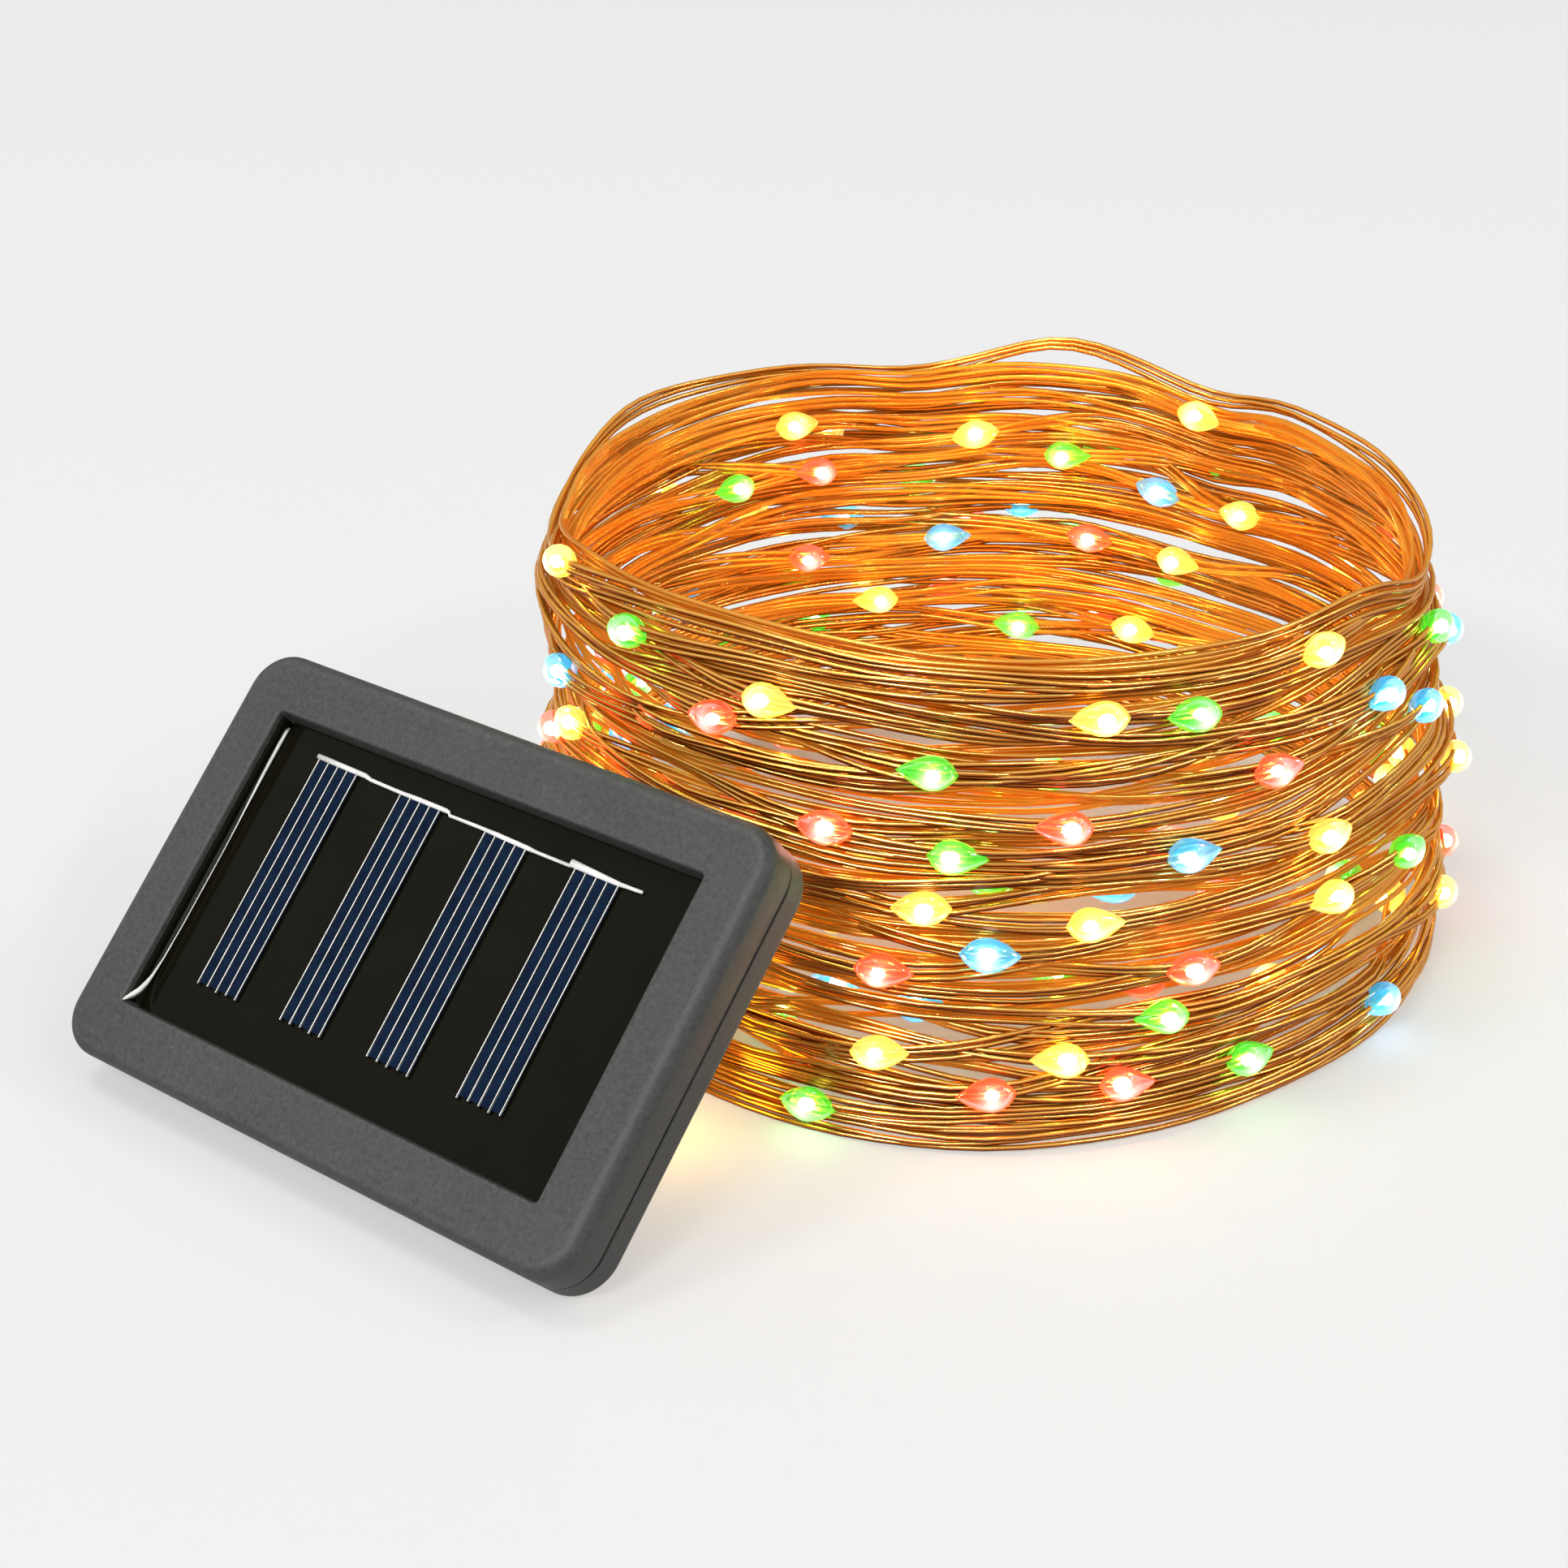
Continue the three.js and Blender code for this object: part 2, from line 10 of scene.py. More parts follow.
import bpy
import numpy as np
from mathutils import Matrix, Vector


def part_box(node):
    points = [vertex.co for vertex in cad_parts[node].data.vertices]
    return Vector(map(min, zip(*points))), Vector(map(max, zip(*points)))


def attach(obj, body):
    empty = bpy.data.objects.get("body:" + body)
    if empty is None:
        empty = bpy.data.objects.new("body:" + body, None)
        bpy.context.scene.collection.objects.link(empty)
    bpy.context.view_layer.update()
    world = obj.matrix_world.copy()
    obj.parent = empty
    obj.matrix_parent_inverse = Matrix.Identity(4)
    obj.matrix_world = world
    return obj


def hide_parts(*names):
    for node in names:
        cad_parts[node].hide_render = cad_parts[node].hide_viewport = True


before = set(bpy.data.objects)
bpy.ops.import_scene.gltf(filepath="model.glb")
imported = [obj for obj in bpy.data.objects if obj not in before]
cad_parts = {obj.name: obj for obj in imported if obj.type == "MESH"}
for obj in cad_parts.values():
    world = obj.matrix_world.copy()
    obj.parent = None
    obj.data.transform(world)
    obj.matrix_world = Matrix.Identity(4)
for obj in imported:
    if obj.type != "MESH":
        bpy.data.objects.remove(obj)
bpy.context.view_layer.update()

MM = 0.001

# ---------------------------------------------------------------- driving dimensions (millimetres)
TILT = math.radians(44.3)
HOUSING_HALF = (45.7, 30.4)
HOUSING_CORNER = 6.0
FACE_EDGE = 2.0
PARTING_Z = -5.8
WINDOW_HALF = (37.5, 22.1)
WINDOW_CORNER = 0.6
POCKET_HALF = (40.3, 24.9)
LAMINATE_TOP = -3.1
COLLAR_LEAN = 0.25  # how far the resin on the window's wall reaches out at its foot
SCREW_PLACES = [(x, y) for x in (-42, 42) for y in (-26.8, 26.8)]
SCREW_HOLE = (1.3, -6, -2.4)  # radius, lowest z and highest z

STRIP_COUNT = 4
STRIP_LINES = 5
STRIP_WIDTH = 7.5
STRIP_PITCH = 15.7
STRIP_FIRST_X = -25.8
STRIP_MIDDLE_Y = 1.4
STRIP_LENGTH = 33.6
STRIP_SHORTER = 0.7
STRIP_TOP = -2.7
STRIP_FLOOR = -3.05

LEAD = [  # the string behind the housing, from the gland's mouth to the coil
    (-36, 3.2, 1.9),
    (-36.2, 7, 1.05),
    (-37, 14, 0.9),
    (-38.4, 24, 0.9),
    (-40.2, 36, 0.9),
    (-42.4, 48, 0.9),
    (-45, 60, 0.9),
    (-46.4, 68, 0.9),
    (-46.6, 75, 0.9),
]
GLAND_MOUTH = (-36, -18, -16.0)  # in the housing frame
GLAND_REACH = 1.2  # how far inside the gland the wires begin
STRAND_RADIUS = 0.38
STRAND_PITCH = 0.82  # between neighbours of the three wires
WIRE_SIDES = 6
BUNDLE_LENGTH = 14  # of string that lies in a round bundle at the gland
COIL_TURNS = 54
COIL_START = math.radians(190)
COIL_FOOT = 0.9  # height of the string's middle where it lies on the floor
STEPS = 96  # samples of the winding in one turn
WALL_RADIUS = 68.0
SUNNY_SIDE = -58  # degrees round the coil
LED_COUNT = 200
LED_SPACING = 100
LED_CLEARANCE = 9.5
LED_HIGHEST = 52
LED_HALF_LENGTH = 4.0
LED_RADIUS = 2.3
LED_PROUD = 0.5  # how far an outer LED's string stands out of the wall
LED_SUNK = 6.0  # how far inside the wall an inner LED's string lies
LED_LIFT = 1.3  # how far the string bends up or down to an LED's seat, at most


def strip_length(i):
    """Length of a cell strip: each is a little shorter than the one before."""
    return STRIP_LENGTH - i * STRIP_SHORTER


def strip_x(i):
    """Middle of a cell strip."""
    return STRIP_FIRST_X + i * STRIP_PITCH


def housing_matrix():
    """The housing frame, in millimetres, to the part's frame: read off the first cell strip's box."""
    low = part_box("solar_cell_strip_1")[0]
    sin, cos = math.sin(TILT), math.cos(TILT)
    bottom = STRIP_MIDDLE_Y - strip_length(0) / 2
    y = low.y - (bottom * cos - STRIP_TOP * sin) * MM
    z = low.z - (bottom * sin + STRIP_FLOOR * cos) * MM
    return Matrix.Translation((0, y, z)) @ Matrix.Rotation(TILT, 4, "X") @ Matrix.Scale(MM, 4)


HOUSING = housing_matrix()
coil_low, coil_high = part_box("light_coil")
COIL_CENTRE = np.array([coil_low.x + coil_high.x, coil_low.y + coil_high.y]) / 2 / MM
COIL_HEIGHT = (coil_high.z - coil_low.z) / MM


# ---------------------------------------------------------------- camera
def make_camera():
    """A short telephoto view from the front right, looking about 27 degrees down."""
    data = bpy.data.cameras.new("camera")
    data.lens = 65.1
    data.sensor_width = 36
    camera = bpy.data.objects.new("camera", data)
    bpy.context.collection.objects.link(camera)
    camera.location = (0.2334, -0.2190, 0.2069)
    camera.rotation_euler = (math.radians(90 - 26.55), 0, math.radians(38.5))
    bpy.context.scene.camera = camera


make_camera()


# ---------------------------------------------------------------- material helpers
def new_material(name):
    material = bpy.data.materials.new(name)
    material.use_nodes = True
    nodes = material.node_tree.nodes
    return material, nodes, material.node_tree.links, nodes["Principled BSDF"]


def texture(nodes, links, kind, scale, **sockets):
    """A texture node in object space."""
    coordinates = nodes.new("ShaderNodeTexCoord")
    node = nodes.new(kind)
    links.new(coordinates.outputs["Object"], node.inputs["Vector"])
    node.inputs["Scale"].default_value = scale
    for socket, value in sockets.items():
        node.inputs[socket].default_value = value
    return node


def ramp(nodes, links, source, *stops):
    """A colour ramp over a factor output. Each stop is (position, colour)."""
    node = nodes.new("ShaderNodeValToRGB")
    links.new(source, node.inputs["Fac"])
    elements = node.color_ramp.elements
    while len(elements) < len(stops):
        elements.new(0.5)
    for element, (position, colour) in zip(elements, stops):
        element.position = position
        element.color = (*colour, 1)
    return node.outputs["Color"]


def grey(value):
    """A neutral colour."""
    return (value, value, value)


def bump(nodes, links, shader, height, strength, distance):
    """Fine relief from a height output."""
    node = nodes.new("ShaderNodeBump")
    node.inputs["Strength"].default_value = strength
    node.inputs["Distance"].default_value = distance
    links.new(height, node.inputs["Height"])
    links.new(node.outputs["Normal"], shader.inputs["Normal"])


def between(nodes, links, source, low, high):
    """A noise's colour, from low in its hollows to high on its crests."""
    return ramp(nodes, links, source.outputs["Fac"], (0.3, low), (0.7, high))


def mixed(nodes, links, factor, first, second):
    """Two colours mixed. The factor is an output or a number, a colour an output or three numbers."""
    node = nodes.new("ShaderNodeMix")
    node.data_type = "RGBA"
    if isinstance(factor, float):
        node.inputs["Factor"].default_value = factor
    else:
        links.new(factor, node.inputs["Factor"])
    for socket, colour in ((node.inputs[6], first), (node.inputs[7], second)):
        if isinstance(colour, tuple):
            socket.default_value = (*colour, 1)
        else:
            links.new(colour, socket)
    return node.outputs[2]


def multiplied(nodes, links, first, second):
    """Two colour outputs multiplied."""
    node = nodes.new("ShaderNodeMix")
    node.data_type = "RGBA"
    node.blend_type = "MULTIPLY"
    node.inputs["Factor"].default_value = 1
    links.new(first, node.inputs[6])
    links.new(second, node.inputs[7])
    return node.outputs[2]


# ---------------------------------------------------------------- materials
def painted_edge_light(nodes, links):
    """A painted highlight where the sunny face starts to round over, and painted shade on down the edges and
    the walls.
    """
    coordinates = nodes.new("ShaderNodeTexCoord")
    facing = nodes.new("ShaderNodeVectorMath")
    facing.operation = "DOT_PRODUCT"
    facing.inputs[1].default_value = (0, -math.sin(TILT), math.cos(TILT))
    links.new(coordinates.outputs["Normal"], facing.inputs[0])
    return ramp(
        nodes,
        links,
        facing.outputs["Value"],
        (0.0, grey(0.60)),
        (0.80, grey(0.62)),
        (0.94, grey(1.0)),
        (0.985, grey(1.0)),
        (1.0, grey(0.86)),
    )


def shell_plastic():
    """Charcoal moulded plastic with a fine spark-eroded grain."""
    material, nodes, links, shader = new_material("shell_plastic")
    cloud = texture(nodes, links, "ShaderNodeTexNoise", 70, Detail=4)
    tone = between(nodes, links, cloud, (0.044, 0.046, 0.043), (0.066, 0.067, 0.063))
    grain = texture(nodes, links, "ShaderNodeTexNoise", 1500, Detail=3, Roughness=0.8)
    speck = between(nodes, links, grain, (0.012, 0.013, 0.012), (0.088, 0.089, 0.085))
    skin = mixed(nodes, links, 0.6, tone, speck)
    # The skin takes the painted highlight at the face's edge and the painted shade down the edges and walls.
    links.new(multiplied(nodes, links, skin, painted_edge_light(nodes, links)), shader.inputs["Base Color"])
    links.new(between(nodes, links, grain, grey(0.50), grey(0.66)), shader.inputs["Roughness"])
    bump(nodes, links, shader, grain.outputs["Fac"], 0.5, 0.00016)
    return material


def panel_resin():
    """The black potting over the panel: glossy, very slightly uneven."""
    material, nodes, links, shader = new_material("panel_resin")
    cloud = texture(nodes, links, "ShaderNodeTexNoise", 90, Detail=3)
    tone = between(nodes, links, cloud, (0.0048, 0.0044, 0.0020), (0.0064, 0.0058, 0.0030))
    links.new(tone, shader.inputs["Base Color"])
    shader.inputs["Roughness"].default_value = 0.09
    shader.inputs["Specular IOR Level"].default_value = 0.1
    swell = texture(nodes, links, "ShaderNodeTexNoise", 160, Detail=1)
    bump(nodes, links, shader, swell.outputs["Fac"], 0.05, 0.0004)
    return material


def solar_cell():
    """Dark blue silicon, faintly clouded."""
    material, nodes, links, shader = new_material("solar_cell")
    cloud = texture(nodes, links, "ShaderNodeTexNoise", 420, Detail=4, Roughness=0.7)
    tone = between(nodes, links, cloud, (0.0012, 0.006, 0.021), (0.004, 0.015, 0.040))
    links.new(tone, shader.inputs["Base Color"])
    links.new(between(nodes, links, cloud, grey(0.30), grey(0.42)), shader.inputs["Roughness"])
    shader.inputs["Specular IOR Level"].default_value = 0.06
    return material


def plain(name, colour, roughness, metallic=0.0, grain=1500, depth=0.00005):
    """A small part's finish: one colour with a slight mottle and a fine surface."""
    material, nodes, links, shader = new_material(name)
    mottle = texture(nodes, links, "ShaderNodeTexNoise", grain * 0.2, Detail=3)
    dark = tuple(0.82 * c for c in colour)
    light = tuple(min(1.0, 1.12 * c) for c in colour)
    links.new(between(nodes, links, mottle, dark, light), shader.inputs["Base Color"])
    fine = texture(nodes, links, "ShaderNodeTexNoise", grain, Detail=2)
    low, high = grey(max(0.02, roughness - 0.06)), grey(min(1.0, roughness + 0.06))
    links.new(between(nodes, links, fine, low, high), shader.inputs["Roughness"])
    shader.inputs["Metallic"].default_value = metallic
    bump(nodes, links, shader, fine.outputs["Fac"], 0.25, depth)
    return material


def copper_wire():
    """Enamelled copper with painted light: painted golden light above with a painted highlight band, painted
    deep brown shade underneath, and a painted orange glow where the LEDs light it from inside.
    """
    material, nodes, links, shader = new_material("copper_wire")
    geometry = nodes.new("ShaderNodeNewGeometry")
    split = nodes.new("ShaderNodeSeparateXYZ")
    links.new(geometry.outputs["Normal"], split.inputs["Vector"])
    lift = nodes.new("ShaderNodeMapRange")
    lift.inputs["From Min"].default_value = -1
    links.new(split.outputs["Z"], lift.inputs["Value"])
    # Painted light by how far the surface faces up: painted shade below, orange in the middle, then a painted
    # highlight band and gold above.
    body = ramp(
        nodes,
        links,
        lift.outputs["Result"],
        (0.36, (0.024, 0.005, 0.001)),
        (0.54, (0.46, 0.095, 0.005)),
        (0.70, (0.96, 0.30, 0.014)),
        (0.80, (1.0, 0.78, 0.28)),
        (0.90, (1.0, 0.46, 0.05)),
    )
    # Where LED light would reach, a painted glow: the colour turns orange and the wire itself emits, in
    # warmer and yellower patches.
    lit = nodes.new("ShaderNodeAttribute")
    lit.attribute_name = "lit"
    body = mixed(nodes, links, lit.outputs["Fac"], body, (0.76, 0.28, 0.02))
    patch = texture(nodes, links, "ShaderNodeTexNoise", 34, Detail=1)
    hue = ramp(nodes, links, patch.outputs["Fac"], (0.38, (1.0, 0.26, 0.012)), (0.62, (1.0, 0.48, 0.05)))
    links.new(hue, shader.inputs["Emission Color"])
    glow = nodes.new("ShaderNodeMapRange")
    glow.inputs["To Max"].default_value = 0.24
    links.new(lit.outputs["Fac"], glow.inputs["Value"])
    links.new(glow.outputs["Result"], shader.inputs["Emission Strength"])
    shade = texture(nodes, links, "ShaderNodeTexNoise", 130, Detail=3)
    age = ramp(nodes, links, shade.outputs["Fac"], (0.32, (0.84, 0.76, 0.70)), (0.58, (1.0, 1.0, 1.0)))
    links.new(multiplied(nodes, links, body, age), shader.inputs["Base Color"])
    links.new(between(nodes, links, shade, grey(0.22), grey(0.15)), shader.inputs["Roughness"])
    shader.inputs["Metallic"].default_value = 0.78
    shader.inputs["Specular IOR Level"].default_value = 0.2
    shader.inputs["Specular Tint"].default_value = (1.0, 0.62, 0.25, 1)
    shader.inputs["Coat Weight"].default_value = 0.3
    shader.inputs["Coat Roughness"].default_value = 0.06
    return material


LED_LOOKS = {  # body tint and core tint
    "yellow": ((1.0, 0.86, 0.15), (1.0, 0.97, 0.72)),
    "red": ((0.92, 0.13, 0.045), (1.0, 0.84, 0.78)),
    "green": ((0.08, 0.76, 0.035), (0.90, 1.0, 0.84)),
    "blue": ((0.05, 0.52, 0.90), (0.86, 0.96, 1.0)),
}


def led_resin(name, tint, core):
    """Clear resin that glows in its own colour, hottest round the chip, and lets what is behind show."""
    material, nodes, links, shader = new_material(f"led_resin_{name}")
    glow = nodes.new("ShaderNodeAttribute")
    glow.attribute_name = "glow"
    shine = mixed(nodes, links, glow.outputs["Fac"], tint, core)
    links.new(shine, shader.inputs["Emission Color"])
    links.new(shine, shader.inputs["Base Color"])
    strength = nodes.new("ShaderNodeMapRange")
    strength.inputs["To Min"].default_value = 0.7
    strength.inputs["To Max"].default_value = 2.0
    links.new(glow.outputs["Fac"], strength.inputs["Value"])
    links.new(strength.outputs["Result"], shader.inputs["Emission Strength"])
    shader.inputs["Roughness"].default_value = 0.06
    shader.inputs["Transmission Weight"].default_value = 0.6
    shader.inputs["IOR"].default_value = 1.5
    clear = nodes.new("ShaderNodeBsdfTransparent")
    clear.inputs["Color"].default_value = (*(0.3 + 0.7 * c for c in tint), 1)
    blend = nodes.new("ShaderNodeMixShader")
    blend.inputs["Fac"].default_value = 0.66
    links.new(clear.outputs["BSDF"], blend.inputs[1])
    links.new(shader.outputs["BSDF"], blend.inputs[2])
    links.new(blend.outputs["Shader"], nodes["Material Output"].inputs["Surface"])
    return material


def led_chip(name, tint):
    """The lit chip, far brighter than the resin round it."""
    material, nodes, links, shader = new_material(f"led_chip_{name}")
    shader.inputs["Base Color"].default_value = (*tint, 1)
    shader.inputs["Emission Color"].default_value = (*tint, 1)
    shader.inputs["Emission Strength"].default_value = 90
    return material


# ---------------------------------------------------------------- mesh helpers
def mesh_object(name, vertices, faces, material, matrix=None):
    """A smooth-shaded object from plain vertices and faces, with its place in its mesh."""
    mesh = bpy.data.meshes.new(name)
    mesh.from_pydata([tuple(v) for v in vertices], [], faces)
    if matrix is not None:
        mesh.transform(matrix)
    mesh.polygons.foreach_set("use_smooth", [True] * len(mesh.polygons))
    mesh.materials.append(material)
    mesh.update()
    piece = bpy.data.objects.new(name, mesh)
    bpy.context.collection.objects.link(piece)
    return piece


def place_piece(piece, body, slot, *replaced):
    """Gives a piece its body and hides the CAD nodes that it stands for. The slot is not used."""
    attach(piece, body)
    if replaced:
        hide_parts(*replaced)


def join_parts(parts):
    """One vertex array and one face list from several."""
    vertices, faces, base = [], [], 0
    for part_vertices, part_faces in parts:
        vertices.append(np.asarray(part_vertices, float))
        faces += [[base + v for v in face] for face in part_faces]
        base += len(part_vertices)
    return np.concatenate(vertices), faces


def tube(centres, side, up, radius, sides):
    """A closed round tube along centres. side and up are unit vectors across it at each centre."""
    count = len(centres)
    turn = np.linspace(0, 2 * np.pi, sides, endpoint=False)[None, :, None]
    section = np.cos(turn) * side[:, None] + np.sin(turn) * up[:, None]
    vertices = (centres[:, None] + radius * section).reshape(-1, 3)
    row = np.arange(count - 1)[:, None] * sides
    here = np.arange(sides)[None, :]
    after = (here + 1) % sides
    quads = np.stack([row + here, row + after, row + sides + after, row + sides + here], axis=-1)
    faces = quads.reshape(-1, 4).tolist()
    faces.append(list(range(sides))[::-1])
    faces.append(list(range((count - 1) * sides, count * sides)))
    return vertices, faces


def lathe(profile, sides, centre, axis, side, up):
    """A body of revolution. profile is (distance along the axis, radius), from radius 0 to radius 0."""
    axis, side, up, centre = (np.asarray(v, float) for v in (axis, side, up, centre))
    vertices, faces = [], []
    for along, radius in profile:
        for j in range(sides if radius > 0 else 1):
            turn = 2 * math.pi * j / sides
            vertices.append(centre + along * axis + radius * (math.cos(turn) * side + math.sin(turn) * up))
    last = len(vertices) - 1
    for j in range(sides):
        k = (j + 1) % sides
        faces.append([0, 1 + k, 1 + j])
        for row in range(len(profile) - 3):
            base = 1 + row * sides
            faces.append([base + j, base + k, base + sides + k, base + sides + j])
        faces.append([last, last - sides + j, last - sides + k])
    return vertices, faces


def rounded_loop(half, corner, z, middle=(0, 0), segments=12):
    """A round-cornered rectangle of points, anticlockwise seen from +z."""
    points = []
    for quarter, (sx, sy) in enumerate(((1, -1), (1, 1), (-1, 1), (-1, -1))):
        for i in range(segments + 1):
            turn = (quarter - 1 + i / segments) * math.pi / 2
            x = middle[0] + sx * (half[0] - corner) + corner * math.cos(turn)
            y = middle[1] + sy * (half[1] - corner) + corner * math.sin(turn)
            points.append((x, y, z))
    return points


def loft(loops, closed):
    """Quads between neighbouring loops. A closed loft ends where it began, and an open one is capped."""
    count = len(loops[0])
    vertices = [point for loop in loops for point in loop]
    faces = []
    for i in range(len(loops) if closed else len(loops) - 1):
        low, high = i * count, (i + 1) % len(loops) * count
        for j in range(count):
            k = (j + 1) % count
            faces.append([low + j, low + k, high + k, high + j])
    if not closed:
        faces.append(list(range(count))[::-1])
        faces.append(list(range((len(loops) - 1) * count, len(loops) * count)))
    return vertices, faces


# ---------------------------------------------------------------- the light string's route
def wander(turns, seed, *waves):
    """A smooth wander along the winding that no turn repeats. Each wave is (size, cycles a turn)."""
    total = np.zeros_like(turns)
    for i, (size, cycles) in enumerate(waves):
        phase = 2.4 * (seed + 1) * (i + 1)
        total += size * np.sin(2 * np.pi * cycles * turns + phase + 1.7 * np.sin(0.9 * turns + phase))
    return total


def bell(value, middle, width):
    """1 at the middle, and falling to nothing a few widths away."""
    return np.exp(-(((value - middle) / width) ** 2))


def smooth_step(value):
    """Rises smoothly from 0 to 1 as the value does."""
    value = np.clip(value, 0, 1)
    return value * value * (3 - 2 * value)


def turned_from(angle, degrees):
    """Angle from a direction, in degrees between -180 and 180."""
    return (np.degrees(angle) - degrees + 180) % 360 - 180


def smoothed(values, width):
    """A moving average with a soft window, along the winding."""
    window = np.hanning(width + 2)[1:-1]
    window /= window.sum()
    padded = np.pad(values, width // 2, mode="edge")
    return np.convolve(padded, window, mode="valid")


def winding_shares(turns):
    """Where the wire lies between the floor (0) and the rim (1) all along the winding.

    It climbs, falls and climbs again while it wanders. Turns that bunch up push each other apart, as wire
    does: each is drawn towards its own place in the order of heights at that angle.
    """
    passes = 3
    climb = 0.5 - 0.5 * np.cos(np.pi * turns / COIL_TURNS * passes)
    share = 0.8 * climb + 0.2 * turns / COIL_TURNS + wander(turns, 3, (0.05, 0.31), (0.04, 0.83), (0.02, 1.7))
    for window in (21, 21, 17, 13, 11, 7):
        grid = share.reshape(COIL_TURNS, STEPS)
        order = grid.argsort(axis=0).argsort(axis=0)
        even = (order + 0.5) / COIL_TURNS
        share = smoothed((0.3 * grid + 0.7 * even).ravel(), window)
    return share


# Where turns draw together (pull over 0) or part (pull under 0): degrees, reach, share, width, pull.
GATHERS = [
    (20, 17, 0.86, 0.22, 0.6),
    (222, 22, 0.82, 0.20, 0.6),
    (-76, 32, 0.93, 0.03, -1.1),
    (-14, 14, 0.945, 0.02, -0.8),
    (-70, 26, 0.84, 0.035, -1.0),
    (-48, 22, 0.70, 0.035, -0.9),
    (-66, 20, 0.36, 0.03, -0.8),
]


def gathered(share, angle):
    """The turns pinch together at two places round the drum and part at a few others."""
    for degrees, reach, middle, width, pull in GATHERS:
        near = bell(turned_from(angle, degrees), 0, reach)
        share = share + pull * near * (middle - share) * bell(share, middle, width)
    return share


def rim_height(angle):
    """Height of the coil's top edge, which dips and rises a little."""
    height = 64.1 + 1.1 * np.cos(angle - math.radians(-160)) + 0.8 * np.cos(2 * (angle - math.radians(110)))
    height += 2.6 * bell(turned_from(angle, 0), 0, 16)
    height -= 2.4 * bell(turned_from(angle, 136), 0, 12)
    height -= 2.0 * bell(turned_from(angle, 88), 0, 9)
    return height


def drum_radius(angle, height):
    """Outer radius of the winding: narrow at the top, spread at the front foot, drawn in at the left."""
    t = height / COIL_HEIGHT
    radius = WALL_RADIUS + 0.5 * t - 7.0 * t * t
    radius += 4.6 * bell(turned_from(angle, -56), 0, 32) * np.maximum(0, 1 - 1.3 * t) ** 2
    radius += 1.5 * bell(turned_from(angle, 18), 0, 26) * bell(t, 0.42, 0.3)
    radius -= 3.6 * bell(turned_from(angle, 222), 0, 26) * bell(t, 0.52, 0.15)
    radius += 1.6 * bell(turned_from(angle, -56), 0, 24) * bell(t, 1, 0.2)
    return radius


def coil_points():
    """The string's middle at each sample of the winding, from its first turn on the floor to its bare end."""
    turns = np.arange(COIL_TURNS * STEPS) / STEPS
    angle = COIL_START - 2 * np.pi * turns
    share = gathered(winding_shares(turns), angle)
    height = COIL_FOOT + share * (rim_height(angle) - COIL_FOOT)
    spread = bell(share, 0, 0.12)
    height += wander(turns, 11, (0.22, 3.1), (0.14, 7.3), (0.07, 13.1))
    settled = smooth_step(turns / 0.35)
    height = COIL_FOOT + settled * (height - COIL_FOOT)
    height = np.maximum(height, COIL_FOOT)
    layer = 2.1 + wander(turns, 5, (1.1, 0.37), (0.8, 0.93), (0.5, 2.3))
    layer *= 1 - 0.8 * spread
    loose = smoothed(np.clip((share - 0.98) / 0.006, 0, 1), 15)
    height += 3.4 * loose * bell(turned_from(angle, 113), 0, 12)
    layer -= loose * (3.4 * bell(turned_from(angle, 24), 0, 18) + 3.2 * bell(turned_from(angle, 188), 0, 22))
    radius = drum_radius(angle, height) - settled * np.clip(layer, -2, 4.2)
    x = COIL_CENTRE[0] + radius * np.cos(angle)
    y = COIL_CENTRE[1] + radius * np.sin(angle)
    return np.stack([x, y, height], axis=1)


def resampled(points, step):
    """The same route with its points a step apart."""
    lengths = run_lengths(points)
    count = max(2, int(round(lengths[-1] / step)) + 1)
    wanted = np.linspace(0, lengths[-1], count)
    return np.stack([np.interp(wanted, lengths, points[:, k]) for k in range(3)], axis=1)


def smooth_route(points, step):
    """Points a step apart along a Catmull-Rom curve through the given ones."""
    points = np.asarray(points, float)
    padded = np.concatenate([[2 * points[0] - points[1]], points, [2 * points[-1] - points[-2]]])
    dense = []
    for a, b, c, d in zip(padded, padded[1:], padded[2:], padded[3:]):
        for t in np.linspace(0, 1, 12, endpoint=False):
            bend = (2 * a - 5 * b + 4 * c - d) * t * t + (3 * b - a - 3 * c + d) * t**3
            dense.append(0.5 * (2 * b + (c - a) * t + bend))
    dense.append(points[-1])
    return resampled(np.array(dense), step)


def string_route():
    """The whole string: out of the gland, along the floor, and round the coil."""
    coil = coil_points()
    joined = 12  # sample of the winding where the lead's curve takes over
    mouth = np.array(HOUSING @ Vector(GLAND_MOUTH)) / MM
    out = (LEAD[0] - mouth) / np.linalg.norm(LEAD[0] - mouth)
    lead = smooth_route([mouth - GLAND_REACH * out, mouth, *LEAD, *coil[4 : joined + 1 : 4]], 2.0)
    return np.concatenate([lead[:-1], coil[joined:]])


def frames_along(route):
    """Unit vectors along, across and above the route at each of its points."""
    along = np.gradient(route, axis=0)
    along /= np.linalg.norm(along, axis=1)[:, None]
    side = np.cross(along, [0, 0, 1.0])
    side /= np.linalg.norm(side, axis=1)[:, None]
    return along, side, np.cross(side, along)


def run_lengths(route):
    """Length of the route up to each of its points."""
    return np.concatenate([[0], np.cumsum(np.linalg.norm(np.diff(route, axis=0), axis=1))])


# ---------------------------------------------------------------- the light string's pieces
def inner_light(route):
    """How much painted LED glow each point of a wire gets: most on its inner side and deep in the winding."""
    offset = route[:, :2] - COIL_CENTRE
    radius = np.linalg.norm(offset, axis=1)
    depth = drum_radius(np.arctan2(offset[:, 1], offset[:, 0]), route[:, 2]) - radius
    deep = np.clip((depth - 1.6) / 2.0, 0, 1)
    wound = np.abs(depth) < 8  # the rest is the lead
    side = np.clip(np.cos(np.linspace(0, 2 * np.pi, WIRE_SIDES, endpoint=False)), 0, 1)
    return (wound[:, None] * np.maximum(deep[:, None], 0.35 * side[None, :])).ravel()


